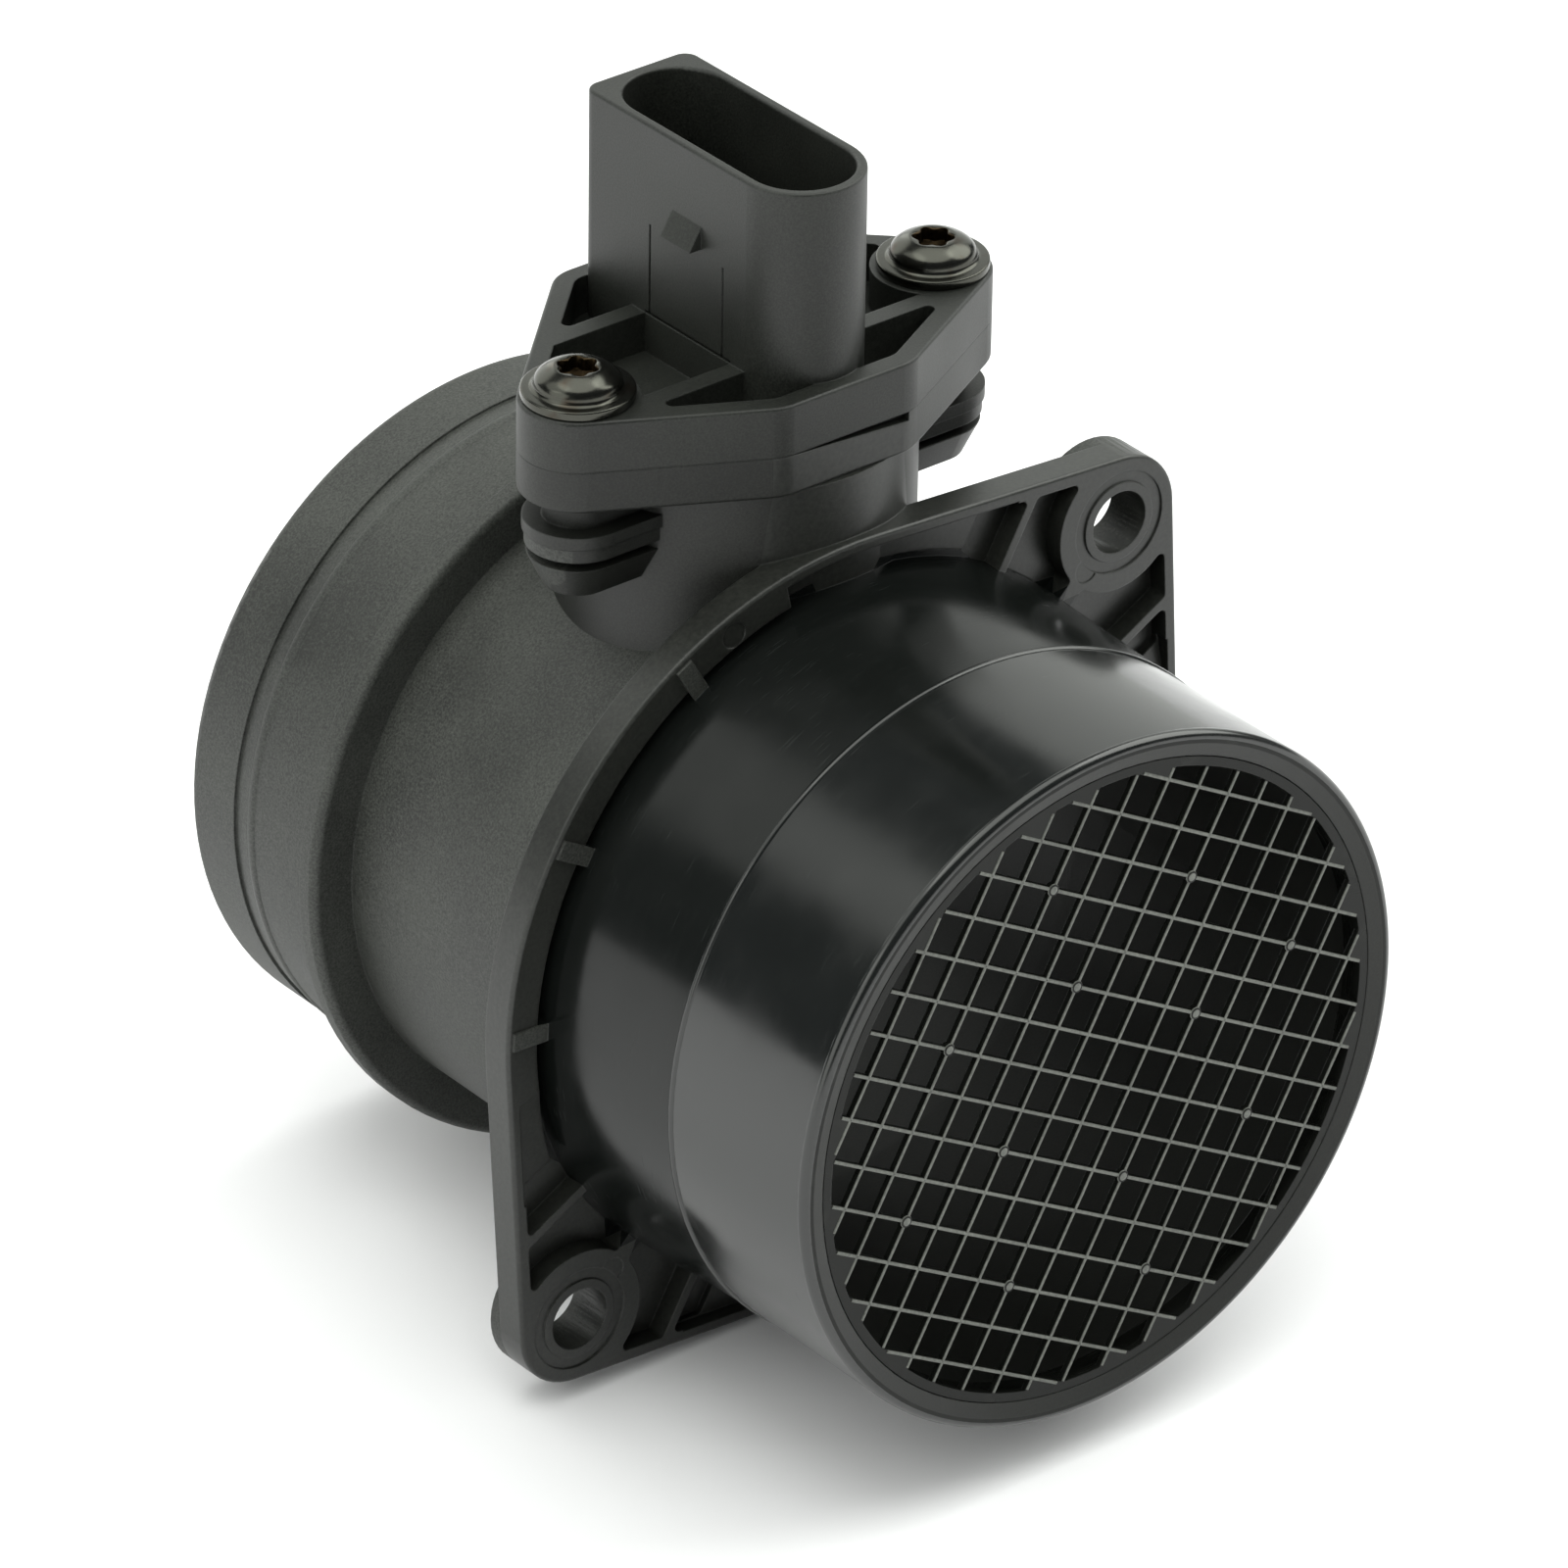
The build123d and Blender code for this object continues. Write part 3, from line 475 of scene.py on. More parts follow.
# Hybrid board: fired alumina, chalky white
ALUMINA = Speckled("alumina_fired", "#d9d7cf", "#c8c4b8", 0.55, 0.25, 0.006)
# Signal chip: black epoxy with silica filler
CHIP_EPOXY = Speckled("epoxy_transfer_moulded", "#151515", "#2a2a2a", 0.50, 0.12, 0.005)
# Capacitors: tan fired dielectric
CAPACITOR_CERAMIC = Speckled("titanate_fired", "#8d7352", "#a88c68", 0.40, 0.20, 0.004)
# Holder: natural PPS, brown-grey
HOLDER_PPS = Speckled("pps_moulded", "#3a342c", "#4d463b", 0.45, 0.20, 0.006)
# Measuring element: polished silicon, dark with a blue cast
SILICON = Speckled("silicon_polished", "#23272e", "#2c3540", 0.10, 0.40, 0.0005, ior=3.4)
# Thermistor bead: dipped glass over the dark sensing chip
BEAD_GLASS = Speckled("glass_dipped", "#3b2418", "#5a3824", 0.08, 0.60, 0.002)


def placed(name: str, data: Any) -> Piece:
    """Makes an object and links it to the scene.

    Args:
        name: What the object is called.
        data: Its mesh, camera or light.

    Returns:
        The object.
    """
    made = bpy.data.objects.new(name, data)
    bpy.context.scene.collection.objects.link(made)
    return made


def read_rows(items: Any, trait: str) -> np.ndarray:
    """Reads one vector of every item, such as the place of each vertex.

    Args:
        items: The vertices, faces or corners.
        trait: The name of the vector.

    Returns:
        One row of three numbers for each item.
    """
    flat = np.empty(len(items) * 3)
    items.foreach_get(trait, flat)
    return flat.reshape(-1, 3)


@dataclass(frozen=True)
class Faces:
    """The faces of a piece: the centre and the direction of each, one row for each face."""

    centres: np.ndarray
    directions: np.ndarray

    @property
    def x(self) -> np.ndarray:
        """Where each face lies across the duct."""
        return self.centres[:, 0]

    @property
    def y(self) -> np.ndarray:
        """Where each face lies along the duct."""
        return self.centres[:, 1]

    @property
    def z(self) -> np.ndarray:
        """How high each face lies."""
        return self.centres[:, 2]

    @property
    def radius(self) -> np.ndarray:
        """How far each face lies from the duct's axis."""
        return np.hypot(self.x, self.z)


Zone = Callable[[Faces], np.ndarray]


def merged_copy(node: str, name: str) -> Piece:
    """Copies a CAD node as one closed mesh that keeps the node's exact surface directions.

    Args:
        node: The CAD node to copy.
        name: What the copy is called.

    Returns:
        The copy, linked to the scene, with no material.
    """
    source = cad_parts[node].data
    spots = read_rows(source.vertices, "co")
    directions = read_rows(source.corner_normals, "vector").reshape(-1, 3, 3)
    corners = np.empty(len(source.loops), int)
    source.loops.foreach_get("vertex_index", corners)
    grid = np.round(spots / WELD_DISTANCE).astype(np.int64)
    _, first, merged = np.unique(grid, axis=0, return_index=True, return_inverse=True)
    faces = merged.reshape(-1)[corners].reshape(-1, 3)
    one, two, three = faces.T
    sound = (one != two) & (two != three) & (three != one)
    mesh = bpy.data.meshes.new(name)
    mesh.from_pydata(spots[first].tolist(), [], faces[sound].tolist())
    mesh.polygons.foreach_set("use_smooth", [True] * len(mesh.polygons))
    mesh.normals_split_custom_set(directions[sound].reshape(-1, 3).tolist())
    mesh.update()
    return placed(name, mesh)


def paint_zones(piece: Piece, zones: list[tuple[Material, Zone | None]]) -> None:
    """Gives each face of a piece the last material whose zone holds it.

    Args:
        piece: The piece to paint.
        zones: Each material with its zone, a test of faces. The first has none and covers the
            whole piece.
    """
    mesh = piece.data
    faces = Faces(read_rows(mesh.polygons, "center"), read_rows(mesh.polygons, "normal"))
    slots = np.zeros(len(mesh.polygons), int)
    for number, (material, zone) in enumerate(zones):
        mesh.materials.append(material)
        if zone is not None:
            slots[zone(faces)] = number
    mesh.polygons.foreach_set("material_index", slots)
    mesh.update()


def settle(piece: Piece, slot: str, *nodes: str) -> Piece:
    """Puts a finished piece on the body and in place of its CAD nodes.

    Args:
        piece: The finished piece.
        slot: The record's material slot. Not used.
        *nodes: CAD nodes that it stands for, if any.

    Returns:
        The same piece.
    """
    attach(piece, BODY)
    if nodes:
        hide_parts(*nodes)
    return piece


def finish_node(node: str, material: Material) -> None:
    """Gives a CAD node that stays on show its material.

    Args:
        node: The CAD node.
        material: Its new material.
    """
    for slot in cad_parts[node].material_slots:
        slot.material = material


def blank_tree(name: str, inputs: dict[str, str]) -> tuple[Tree, Any]:
    """Starts a geometry tree that gives one geometry.

    Args:
        name: What the tree is called.
        inputs: The kind of each input, by the input's name.

    Returns:
        The tree, and its inputs as sockets to link from.
    """
    tree = bpy.data.node_groups.new(name, "GeometryNodeTree")
    for title, kind in inputs.items():
        tree.interface.new_socket(title, in_out="INPUT", socket_type=f"NodeSocket{kind}")
    tree.interface.new_socket("Geometry", in_out="OUTPUT", socket_type="NodeSocketGeometry")
    return tree, add(tree, "NodeGroupInput").outputs


def coated(tree: Tree, geometry: Socket, material: Material, chosen: Any = True) -> Socket:
    """Gives geometry its material.

    Args:
        tree: The geometry tree.
        geometry: What gets the material.
        material: The material.
        chosen: Which faces get it.

    Returns:
        The geometry with the material on it.
    """
    inputs = {"Geometry": geometry, "Selection": chosen, "Material": material}
    return add(tree, "GeometryNodeSetMaterial", inputs).outputs[0]


def moved(tree: Tree, geometry: Socket, rotation: Any, translation: Any = (0, 0, 0)) -> Socket:
    """Turns geometry about the origin and then shifts it.

    Args:
        tree: The geometry tree.
        geometry: What is moved.
        rotation: Its turn about X, Y and Z, in radians.
        translation: Its shift.

    Returns:
        The geometry in its new place.
    """
    inputs = {"Geometry": geometry, "Rotation": rotation, "Translation": translation}
    return add(tree, "GeometryNodeTransform", inputs).outputs[0]


def close_upright(tree: Tree, geometry: Socket, along: Socket, material: Material) -> None:
    """Ends a tree whose geometry lies flat: stands it across the duct and gives it its material.

    Args:
        tree: The geometry tree.
        geometry: What was made flat.
        along: How far down the duct it goes.
        material: What it is made of.
    """
    upright = moved(tree, geometry, (math.pi / 2, 0, 0), vector(tree, Y=along))
    real = add(tree, "GeometryNodeRealizeInstances", {"Geometry": upright}).outputs[0]
    add(tree, "NodeGroupOutput", {0: coated(tree, real, material)})


def grown_piece(name: str, tree: Tree, sizes: dict[str, float | int],
                seed_mesh: bpy.types.Mesh | None = None) -> Piece:
    """Runs a geometry tree once and keeps the result as a plain mesh.

    Args:
        name: What the piece is called.
        tree: The geometry tree.
        sizes: The value of each of its inputs, by name.
        seed_mesh: The mesh that the tree works on, if it takes one.

    Returns:
        The piece, with no modifier left on it.
    """
    seed = placed(name + "_seed", seed_mesh or bpy.data.meshes.new(name + "_seed"))
    modifier = seed.modifiers.new("grow", "NODES")
    modifier.node_group = tree
    for item in tree.interface.items_tree:
        if item.item_type == "SOCKET" and item.in_out == "INPUT" and item.name in sizes:
            modifier[item.identifier] = sizes[item.name]
    ready = seed.evaluated_get(bpy.context.evaluated_depsgraph_get())
    mesh = bpy.data.meshes.new_from_object(ready)
    mesh.name = name
    mesh.polygons.foreach_set("use_smooth", [True] * len(mesh.polygons))
    mesh.set_sharp_from_angle(angle=SHARP_ANGLE)
    piece = placed(name, mesh)
    seed.modifiers.remove(modifier)
    bpy.data.objects.remove(seed)
    return piece


@dataclass(frozen=True)
class Ridge:
    """A low ridge round the duct: a ring of round section, sunk in the wall but for its crown."""

    name: str
    along: float
    ring_r: float
    section_r: float
    ring_steps: int = 360
    section_steps: int = 48

    def tree(self, material: Material) -> Tree:
        """Builds the tree that sweeps the section round the duct's axis.

        Args:
            material: What the ridge is made of.

        Returns:
            The tree, with its sizes as inputs.
        """
        tree, size = blank_tree(
            self.name, {"Ring radius": "Float", "Section radius": "Float", "Along": "Float"})
        ring = add(tree, "GeometryNodeCurvePrimitiveCircle",
                   {"Resolution": self.ring_steps, "Radius": size["Ring radius"]})
        section = add(tree, "GeometryNodeCurvePrimitiveCircle",
                      {"Resolution": self.section_steps, "Radius": size["Section radius"]})
        ridge = add(tree, "GeometryNodeCurveToMesh",
                    {"Curve": ring.outputs[0], "Profile Curve": section.outputs[0]})
        close_upright(tree, ridge.outputs[0], size["Along"], material)
        return tree

    def build(self, material: Material) -> Piece:
        """Builds the ridge.

        Args:
            material: What it is made of.

        Returns:
            The ridge as a piece.
        """
        return grown_piece(self.name, self.tree(material), {
            "Ring radius": self.ring_r, "Section radius": self.section_r, "Along": self.along,
        })


@dataclass
class DuctHousing:
    """The moulded duct: a polished spigot, a satin bolt flange, a textured tube and the neck."""

    bolt_face_y: float = 0.0
    flange_back_y: float = 3.6 * MM
    spigot_r: float = 39.2 * MM
    tube_r: float = 35.5 * MM
    collar_y: float = 35.4 * MM
    neck_low_z: float = 20 * MM
    neck_high_z: float = 46 * MM
    neck_half_x: float = 26 * MM
    bore_r: float = 36.4 * MM
    lip_y: float = -39.2 * MM
    lip_facing: float = 0.99
    skin_depth: float = 0.15 * MM
    crease: Ridge = Ridge("spigot_crease", -18.6 * MM, 37.28 * MM, 0.42 * MM)
    seat_ridge: Ridge = Ridge("seat_ridge", 49.78 * MM, 36.36 * MM, 1.20 * MM)
    lip_round: Ridge = Ridge("lip_round", -38.39 * MM, 36.70 * MM, 0.81 * MM)

    def in_spigot(self, faces: Faces) -> np.ndarray:
        """Tells which faces belong to the polished flare and spigot, inside the flange's ring.

        Args:
            faces: The faces to test.

        Returns:
            One truth value for each face.
        """
        return (faces.y < self.flange_back_y - self.skin_depth) & (faces.radius < self.spigot_r)

    def in_hose_land(self, faces: Faces) -> np.ndarray:
        """Tells which faces belong to the spigot in front of its crease, where the hose sits.

        Args:
            faces: The faces to test.

        Returns:
            One truth value for each face.
        """
        return (faces.y < self.crease.along) & (faces.radius < self.spigot_r)

    def in_lip(self, faces: Faces) -> np.ndarray:
        """Tells which faces belong to the flat front of the lip.

        Args:
            faces: The faces to test.

        Returns:
            One truth value for each face.
        """
        flat = faces.directions[:, 1] < -self.lip_facing
        return (faces.y < self.lip_y + self.skin_depth) & flat

    def in_bore(self, faces: Faces) -> np.ndarray:
        """Tells which faces line the air bore.

        Args:
            faces: The faces to test.

        Returns:
            One truth value for each face.
        """
        outward = faces.x * faces.directions[:, 0] + faces.z * faces.directions[:, 2]
        return (outward < 0) & (faces.radius < self.bore_r)

    def in_neck(self, faces: Faces) -> np.ndarray:
        """Tells which faces belong to the neck, its columns and its plate.

        Args:
            faces: The faces to test.

        Returns:
            One truth value for each face.
        """
        behind_flange = faces.y > self.flange_back_y + self.skin_depth
        before_collar = faces.y < self.collar_y - self.skin_depth
        proud = (faces.z > self.neck_low_z) & (faces.radius > self.tube_r + self.skin_depth)
        between_ears = np.abs(faces.x) < self.neck_half_x
        low = behind_flange & before_collar & proud & between_ears
        return low | (faces.z > self.neck_high_z)

    def in_flange(self, faces: Faces) -> np.ndarray:
        """Tells which faces belong to the front of the bolt flange.

        Args:
            faces: The faces to test.

        Returns:
            One truth value for each face.
        """
        behind_face = faces.y > self.bolt_face_y - self.skin_depth
        before_back = faces.y < self.flange_back_y - self.skin_depth
        return behind_face & before_back & (faces.radius >= self.spigot_r)

    def build(self) -> list[Piece]:
        """Builds the dressed housing and the low ridges round its spigot and its hose seat.

        Returns:
            The pieces made.
        """
        housing = merged_copy("duct_housing", "dressed_duct_housing")
        duct_skin, spigot_skin = DUCT_SKIN.material(), SPIGOT_SKIN.material()
        paint_zones(housing, [
            (duct_skin, None),
            (NECK_SKIN.material(), self.in_neck),
            (FLANGE_SKIN.material(), self.in_flange),
            (FLARE_SKIN.material(), self.in_spigot),
            (spigot_skin, self.in_hose_land),
            (BORE_SKIN.material(), self.in_bore),
            (LIP_SKIN.material(), self.in_lip),
        ])
        ridges = [
            self.crease.build(spigot_skin),
            self.seat_ridge.build(duct_skin),
            self.lip_round.build(spigot_skin),
        ]
        return [settle(housing, "duct_plastic", "duct_housing"),
                *(settle(ridge, "duct_plastic") for ridge in ridges)]


@dataclass
class InletGrille:
    """The clipped-in grille, with a crown along each bar and a domed pad on some crossings."""

    pitch: float = 4.45 * MM
    bar_width: float = 0.36 * MM
    crown_rise: float = 0.09 * MM
    crown_sink: float = 0.15 * MM
    pad_r: float = 0.68 * MM
    pad_rise: float = 0.20 * MM
    open_r: float = 33.6 * MM
    turn: float = math.radians(-29.5)
    bar_reach: int = 7
    bar_sides: int = 10
    pad_segments: int = 16
    pad_rings: int = 8
    # Pads sit on the corners of these squares: the side in cells and the turn in the grid
    pad_squares: tuple[Span, ...] = ((8.0, 0.0), (4.0, 0.0), (5 * math.sqrt(2), math.pi / 4))

    def bars(self, tree: Tree, size: Any) -> Socket:
        """Lays one set of crowns side by side, each as long as the opening is there.

        Args:
            tree: The geometry tree.
            size: The tree's inputs.

        Returns:
            The crowns as instances.
        """
        first = calculate(tree, "MULTIPLY", size["Bars"],
                          calculate(tree, "MULTIPLY", size["Pitch"], -1.0))
        count = calculate(tree, "MULTIPLY_ADD", size["Bars"], 2.0, 1.0)
        row = add(tree, "GeometryNodeMeshLine",
                  {"Count": count, "Start Location": vector(tree, X=first),
                   "Offset": vector(tree, X=size["Pitch"])})
        place = add(tree, "GeometryNodeInputPosition").outputs[0]
        across = add(tree, "ShaderNodeSeparateXYZ", {0: place}).outputs["X"]
        square = calculate(tree, "SUBTRACT", calculate(tree, "POWER", size["Open radius"], 2.0),
                           calculate(tree, "POWER", across, 2.0))
        half_chord = calculate(tree, "SQRT", calculate(tree, "MAXIMUM", square, 0.0))
        chord = calculate(tree, "MULTIPLY", half_chord, 2.0)
        thickness = calculate(tree, "MULTIPLY", size["Crown rise"], 2.0)
        # One bar, one long and one thick, which each place then stretches to its own size
        line = add(tree, "GeometryNodeCurvePrimitiveLine",
                   {"Start": (0, -0.5, 0), "End": (0, 0.5, 0)})
        section = add(tree, "GeometryNodeCurvePrimitiveCircle",
                      {"Resolution": self.bar_sides, "Radius": 0.5})
        bar = add(tree, "GeometryNodeCurveToMesh",
                  {"Curve": line.outputs[0], "Profile Curve": section.outputs[0],
                   "Fill Caps": True})
        bars = add(tree, "GeometryNodeInstanceOnPoints",
                   {"Points": row.outputs["Mesh"], "Instance": bar.outputs["Mesh"],
                    "Scale": vector(tree, X=size["Bar width"], Y=chord, Z=thickness)})
        return bars.outputs[0]

    def pads(self, tree: Tree, size: Any) -> Socket:
        """Sets a dome on each marked crossing.

        Args:
            tree: The geometry tree.
            size: The tree's inputs.

        Returns:
            The domes as instances.
        """
        marked = add(tree, "GeometryNodeJoinGeometry")
        for cells, angle in self.pad_squares:
            side = calculate(tree, "MULTIPLY", size["Pitch"], cells)
            square = add(tree, "GeometryNodeMeshGrid",
                         {"Size X": side, "Size Y": side, "Vertices X": 2, "Vertices Y": 2})
            turned = moved(tree, square.outputs["Mesh"], (0, 0, angle))
            tree.links.new(turned, marked.inputs[0])
        dome = add(tree, "GeometryNodeMeshUVSphere",
                   {"Segments": self.pad_segments, "Rings": self.pad_rings, "Radius": 1.0})
        scale = vector(tree, X=size["Pad radius"], Y=size["Pad radius"], Z=size["Pad rise"])
        pads = add(tree, "GeometryNodeInstanceOnPoints",
                   {"Points": marked.outputs[0], "Instance": dome.outputs["Mesh"],
                    "Scale": scale})
        return pads.outputs[0]

    def crown_tree(self, material: Material) -> Tree:
        """Builds the tree that lays a crown along every bar and a pad on the marked crossings.

        Args:
            material: What crowns and pads are made of.

        Returns:
            The tree, with its sizes as inputs.
        """
        lengths = ("Pitch", "Bar width", "Crown rise", "Pad radius", "Pad rise", "Open radius",
                   "Turn", "Front")
        tree, size = blank_tree("grille_crowns", {**dict.fromkeys(lengths, "Float"), "Bars": "Int"})
        bars = self.bars(tree, size)
        parts = add(tree, "GeometryNodeJoinGeometry", {0: bars})
        tree.links.new(moved(tree, bars, (0, 0, math.pi / 2)), parts.inputs[0])
        tree.links.new(self.pads(tree, size), parts.inputs[0])
        turned = moved(tree, parts.outputs[0], vector(tree, Z=size["Turn"]))
        close_upright(tree, turned, size["Front"], material)
        return tree

    def build(self) -> list[Piece]:
        """Builds the dressed grille and the crowns that lie on it.

        Returns:
            The pieces made.
        """
        grille = merged_copy("inlet_grille", "dressed_inlet_grille")
        # The whole grille takes the painted shade: near black under the lighter crowns
        paint_zones(grille, [(GRILLE_PAINTED_SHADE.material(), None)])
        pad_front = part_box("inlet_grille")[0].y
        # The crowns and pads carry the painted highlight: a lighter grey than the grille under them
        crowns = grown_piece("grille_crowns", self.crown_tree(GRILLE_CROWN_PAINTED_HIGHLIGHT.material()), {
            "Pitch": self.pitch, "Bar width": self.bar_width, "Crown rise": self.crown_rise,
            "Pad radius": self.pad_r, "Pad rise": self.pad_rise, "Open radius": self.open_r,
            "Turn": self.turn, "Front": pad_front + self.crown_sink, "Bars": self.bar_reach,
        })
        return [settle(grille, "grille_plastic", "inlet_grille"), settle(crowns, "grille_plastic")]


@dataclass
class SensorModule:
    """The plug-in module: its moulding, seal, lids and terminals."""

    terminal_count: int = 5

    def build(self) -> list[Piece]:
        """Builds the dressed moulding and finishes the smaller nodes.

        Returns:
            The pieces made.
        """
        skin = MODULE_SKIN.material()
        carrier = merged_copy("sensor_carrier", "dressed_sensor_carrier")
        paint_zones(carrier, [(skin, None)])
        for node in ("bypass_cover", "electronics_cover"):
            finish_node(node, skin)
        finish_node("module_seal", SEAL_RUBBER.material())
        tin = TINNED_BRASS.material()
        for number in range(1, self.terminal_count + 1):
            finish_node(f"terminal_{number}", tin)
        return [settle(carrier, "carrier_plastic", "sensor_carrier")]


@dataclass
class ModuleScrews:
    """The two washer-head screws: a dome that sweeps out into its washer, with a six-lobe drive.

    Heights and radii are in millimetres, and heights count from the screw's seat.
    """

    x: float = 22.3
    y: float = 16.0
    seat_z: float = 60.0
    length: float = 16.0
    shank_r: float = 2.0
    tip_h: float = 1.0
    washer_r: float = 5.7
    washer_t: float = 1.0
    washer_round: float = 0.2
    sweep_r: float = 0.55
    dome_r: float = 4.35
    dome_start: float = 0.985
    head_top: float = 3.2
    land_r: float = 2.3
    drive_r: float = 1.85
    drive_lobe: float = 0.26
    lobes: int = 6
    # Each ring of the drive: its share of the radius, its depth and its share of the lobe
    drive_rings: tuple[tuple[float, float, float], ...] = (
        (1.08, 0.03, 0.7), (1.02, 0.12, 1.0), (0.98, 0.90, 1.0), (0.94, 1.35, 1.0),
        (0.60, 1.50, 0.5), (0.25, 1.60, 0.0))
    segments: int = 72
    round_steps: int = 5
    sweep_steps: int = 7
    dome_steps: int = 12
    turn_between: float = math.radians(17)

    def rings(self) -> list[tuple[float, float, float]]:
        """Lists the rings of the screw from tip to drive floor.

        Returns:
            Mean radius, height and lobe of each ring.
        """
        rings = [(self.shank_r - self.tip_h / 2, -self.length),
                 (self.shank_r, self.tip_h - self.length), (self.shank_r, 0.0)]
        edge = self.washer_round
        rim_r = self.washer_r - edge
        for centre_h, low, high in ((edge, -90, 0), (self.washer_t - edge, 0, 90)):
            for angle in np.radians(np.linspace(low, high, self.round_steps)):
                rings.append((rim_r + edge * math.cos(angle), centre_h + edge * math.sin(angle)))
        sweep_h = self.washer_t + self.sweep_r
        for angle in np.radians(np.linspace(-90, -180, self.sweep_steps)):
            rings.append((self.dome_r + self.sweep_r * (1 + math.cos(angle)),
                          sweep_h + self.sweep_r * math.sin(angle)))
        land_share = self.land_r / self.dome_r
        rise = (self.head_top - sweep_h) / math.sqrt(1 - land_share ** 2)
        for share in np.linspace(self.dome_start, land_share, self.dome_steps):
            rings.append((share * self.dome_r, sweep_h + rise * math.sqrt(1 - share ** 2)))
        return [(radius, height, 0.0) for radius, height in rings] + [
            (share * self.drive_r, self.head_top - depth, swing * self.drive_lobe)
            for share, depth, swing in self.drive_rings]

    def screw_mesh(self) -> bpy.types.Mesh:
        """Lathes one screw on the Z axis and marks the faces of its drive.

        Returns:
            A closed mesh with a face attribute that marks the drive.
        """
        rings = self.rings()
        angles = np.arange(self.segments) * 2 * math.pi / self.segments
        spots = []
        for radius, height, swing in rings:
            reach = (radius + swing * np.cos(self.lobes * angles)) * MM
            spots += [(r * math.cos(a), r * math.sin(a), (self.seat_z + height) * MM)
                      for r, a in zip(reach, angles)]
        tip, floor = len(spots), len(spots) + 1
        spots += [(0.0, 0.0, (self.seat_z + height) * MM) for _, height, _ in (rings[0], rings[-1])]
        faces = []
        for ring in range(len(rings) - 1):
            low, high = ring * self.segments, (ring + 1) * self.segments
            for place in range(self.segments):
                after = (place + 1) % self.segments
                faces.append((low + place, low + after, high + after, high + place))
        top = (len(rings) - 1) * self.segments
        for place in range(self.segments):
            after = (place + 1) % self.segments
            faces += [(tip, after, place), (floor, top + place, top + after)]
        mesh = bpy.data.meshes.new("one_module_screw")
        mesh.from_pydata(spots, [], faces)
        drive_start = (len(rings) - len(self.drive_rings)) * self.segments
        marks = np.arange(len(faces)) >= drive_start
        marks[-2 * self.segments::2] = False
        mesh.attributes.new("drive", "BOOLEAN", "FACE").data.foreach_set("value", marks)
        return mesh

    def pair_tree(self) -> Tree:
        """Builds the tree that sets the screw on its two axes, one turned against the other.

        Returns:
            The tree, with its places as inputs.
        """
        tree, size = blank_tree("screw_pair", {
            "Screw": "Geometry", "Side": "Float", "Along": "Float", "Turn between": "Float",
        })
        left = calculate(tree, "MULTIPLY", size["Side"], -1.0)
        across = calculate(tree, "MULTIPLY", size["Side"], 2.0)
        row = add(tree, "GeometryNodeMeshLine",
                  {"Count": 2, "Start Location": vector(tree, X=left, Y=size["Along"]),
                   "Offset": vector(tree, X=across)})
        number = add(tree, "GeometryNodeInputIndex").outputs[0]
        turn = calculate(tree, "MULTIPLY", number, size["Turn between"])
        pair = add(tree, "GeometryNodeInstanceOnPoints",
                   {"Points": row.outputs["Mesh"], "Instance": size["Screw"],
                    "Rotation": vector(tree, Z=turn)})
        real = add(tree, "GeometryNodeRealizeInstances", {"Geometry": pair.outputs[0]})
        plated = coated(tree, real.outputs[0], BLACK_ZINC.material())
        marked = add(tree, "GeometryNodeInputNamedAttribute", {"Name": "drive"},
                     data_type="BOOLEAN")
        browned = coated(tree, plated, BROWNED_STEEL.material(), marked.outputs["Attribute"])
        add(tree, "NodeGroupOutput", {0: browned})
        return tree

    def build(self) -> list[Piece]:
        """Builds the two screws.

        Returns:
            The piece that holds both.
        """
        screws = grown_piece("dressed_module_screws", self.pair_tree(), {
            "Side": self.x * MM, "Along": self.y * MM, "Turn between": self.turn_between,
        }, self.screw_mesh())
        return [settle(screws, "screw_steel", "module_screws")]


@dataclass
class MeasuringCircuit:
    """What lies in the blade: base plate, board, chip, capacitors, element and thermistor."""

    def build(self) -> list[Piece]:
        """Finishes the nodes of the circuit.

        Returns:
            No pieces, because the nodes keep their own shapes.
        """
        finishes = {
            "base_plate": ROLLED_ALUMINIUM, "hybrid_board": ALUMINA, "evaluation_chip": CHIP_EPOXY,
            "capacitors": CAPACITOR_CERAMIC, "bond_ribbons": RIBBON_ALUMINIUM,
            "sensor_holder": HOLDER_PPS, "sensor_element": SILICON, "temperature_bead": BEAD_GLASS,
            "temperature_leads": NICKEL_WIRE,
        }
        for node, finish in finishes.items():
            finish_node(node, finish.material())
        return []


@dataclass
class PhotoCamera:
    """A long lens that looks down on the grille from the inlet's left.

    Names that end in px are in pixels of the photograph, and the sensor is in millimetres.
    """

    azimuth: float = -39.268
    elevation: float = 30.318
    roll: float = 0.925
    distance: float = 1.17343
    focal_px: float = 12000.0
    image_px: float = 1600.0
    origin_px: tuple[float, float] = (867.113, 938.699)
    sensor: float = 36.0
    far: float = 100.0

    def build(self) -> None:
        """Makes the camera and hands it to the scene."""
        turn, roll = math.radians(self.azimuth), math.radians(self.roll)
        back = compass(self.azimuth, self.elevation)
        right = Vector((math.cos(turn), math.sin(turn), 0))
        up = back.cross(right)
        across = right * math.cos(roll) + up * math.sin(roll)
        upward = up * math.cos(roll) - right * math.sin(roll)
        middle = self.image_px / 2
        scale = self.distance / self.focal_px
        eye = (back * self.distance - across * (self.origin_px[0] - middle) * scale
               + upward * (self.origin_px[1] - middle) * scale)
        data = bpy.data.cameras.new("photo_camera")
        data.sensor_width = self.sensor
        data.lens = self.focal_px * self.sensor / self.image_px
        data.clip_end = self.far
        camera = placed("photo_camera", data)
        axes = Matrix((across, upward, back)).transposed().to_4x4()
        camera.matrix_world = Matrix.Translation(eye) @ axes
        bpy.context.scene.camera = camera


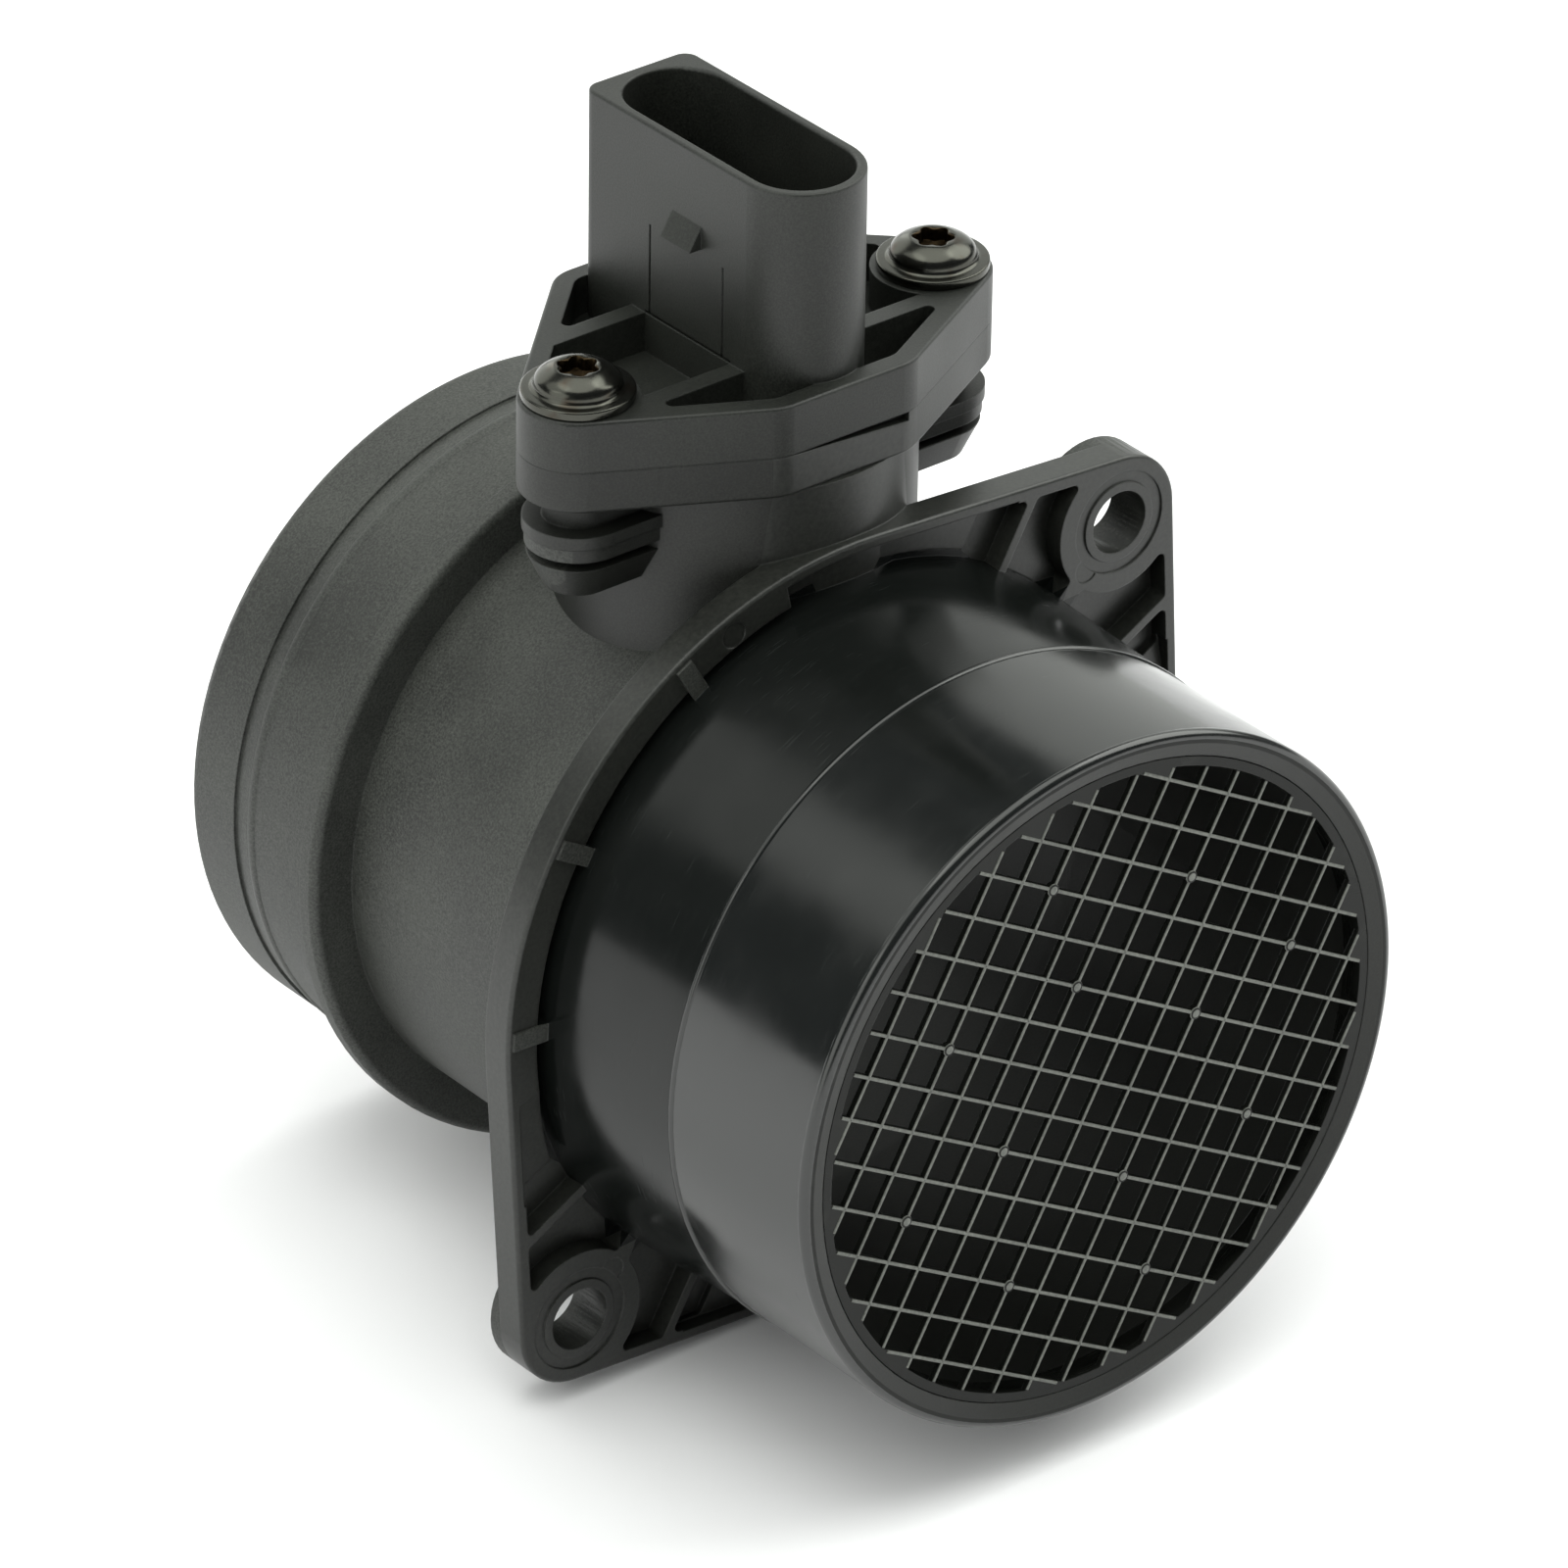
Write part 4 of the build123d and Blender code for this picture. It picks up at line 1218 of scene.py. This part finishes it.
@dataclass
class SoftSun:
    """A far soft light, given by its compass angle from the inlet side and its height."""

    name: str
    azimuth: float
    elevation: float
    strength: float
    spread: float = 50.0
    colour: str = "#f8fbf5"
    mirrored: bool = True

    def build(self) -> None:
        """Hangs the light."""
        data = bpy.data.lights.new(self.name, "SUN")
        data.energy = self.strength
        data.angle = math.radians(self.spread)
        data.color = linear(self.colour)[:3]
        light = placed(self.name, data)
        light.visible_glossy = self.mirrored
        towards = compass(self.azimuth, self.elevation)
        light.rotation_euler = towards.to_track_quat("Z", "Y").to_euler()


@dataclass
class Studio:
    """A white sweep under soft light, exposed so that the paper burns out to white."""

    floor_z: float = -43.4 * MM
    floor_side: float = 24.0
    paper_colour: str = "#f1f0f4"
    paper_roughness: float = 0.9
    tooth_size: float = 0.8 * MM
    tooth_depth_mm: float = 0.01
    tooth_strength: float = 0.3
    room_colour: str = "#f6f8f2"
    room_strength: float = 0.10
    mirror_colour: str = "#8b9092"
    mirror_strength: float = 0.42
    sky_colour: str = "#ffffff"
    sky_strength: float = 1.0
    suns: tuple[SoftSun, ...] = (
        SoftSun("key_high_left", azimuth=-60, elevation=52, strength=1.15, mirrored=False),
        SoftSun("overhead_sheet", azimuth=0, elevation=90, strength=1.70, spread=60),
        SoftSun("left_low", azimuth=-90, elevation=18, strength=0.90),
        SoftSun("front_high", azimuth=0, elevation=52, strength=0.45, mirrored=False),
        SoftSun("right_high", azimuth=80, elevation=42, strength=2.10),
        SoftSun("back_low", azimuth=180, elevation=18, strength=0.95),
        SoftSun("back_right_low", azimuth=135, elevation=18, strength=0.65),
        SoftSun("back_left_high", azimuth=-120, elevation=52, strength=0.70),
    )

    def build(self) -> list[Piece]:
        """Lays the floor and hangs the lights.

        Returns:
            The floor, which is stage.
        """
        half = self.floor_side / 2
        corners = [(x, y, self.floor_z)
                   for x, y in ((-half, -half), (half, -half), (half, half), (-half, half))]
        mesh = bpy.data.meshes.new("paper_floor")
        mesh.from_pydata(corners, [], [(0, 1, 2, 3)])
        floor = placed("paper_floor", mesh)
        mesh.materials.append(self.paper())
        for sun in self.suns:
            sun.build()
        self.surroundings()
        bpy.context.scene.view_settings.view_transform = "Standard"
        bpy.context.scene.view_settings.look = "None"
        return [floor]

    def paper(self) -> Material:
        """Makes the matt white paper, with a faint tooth.

        Returns:
            The material.
        """
        material, tree, place = blank_material("paper_matt_white")
        tooth = noise(tree, place, self.tooth_size, detail=2.0)
        looks = {"Base Color": linear(self.paper_colour), "Roughness": self.paper_roughness}
        close_surface(tree, looks, tooth, self.tooth_depth_mm, strength=self.tooth_strength)
        return material

    def surroundings(self) -> None:
        """Fills the room: white to the camera, dim grey in mirrors and dimmer in its own light."""
        world = bpy.data.worlds.new("studio_room")
        world.use_nodes = True
        tree = world.node_tree
        tree.nodes.clear()
        ray = add(tree, "ShaderNodeLightPath").outputs
        room, mirror, sky = (
            add(tree, "ShaderNodeBackground", {"Color": linear(colour), "Strength": strength})
            for colour, strength in ((self.room_colour, self.room_strength),
                                     (self.mirror_colour, self.mirror_strength),
                                     (self.sky_colour, self.sky_strength)))
        mirrored = add(tree, "ShaderNodeMixShader",
                       {0: ray["Is Glossy Ray"], 1: room.outputs[0], 2: mirror.outputs[0]})
        mixed = add(tree, "ShaderNodeMixShader",
                    {0: ray["Is Camera Ray"], 1: mirrored.outputs[0], 2: sky.outputs[0]})
        add(tree, "ShaderNodeOutputWorld", {"Surface": mixed.outputs[0]})
        bpy.context.scene.world = world


def main() -> None:
    """Builds every sub-assembly in order and reports its pieces."""
    logging.basicConfig(level=logging.INFO, format="%(message)s")
    PhotoCamera().build()
    for part in (DuctHousing(), InletGrille(), SensorModule(), ModuleScrews(),
                 MeasuringCircuit(), Studio()):
        for piece in part.build():
            faces = len(piece.data.polygons)
            LOG.info("%s: %s, %d faces", type(part).__name__, piece.name, faces)


if __name__ == "__main__":
    main()
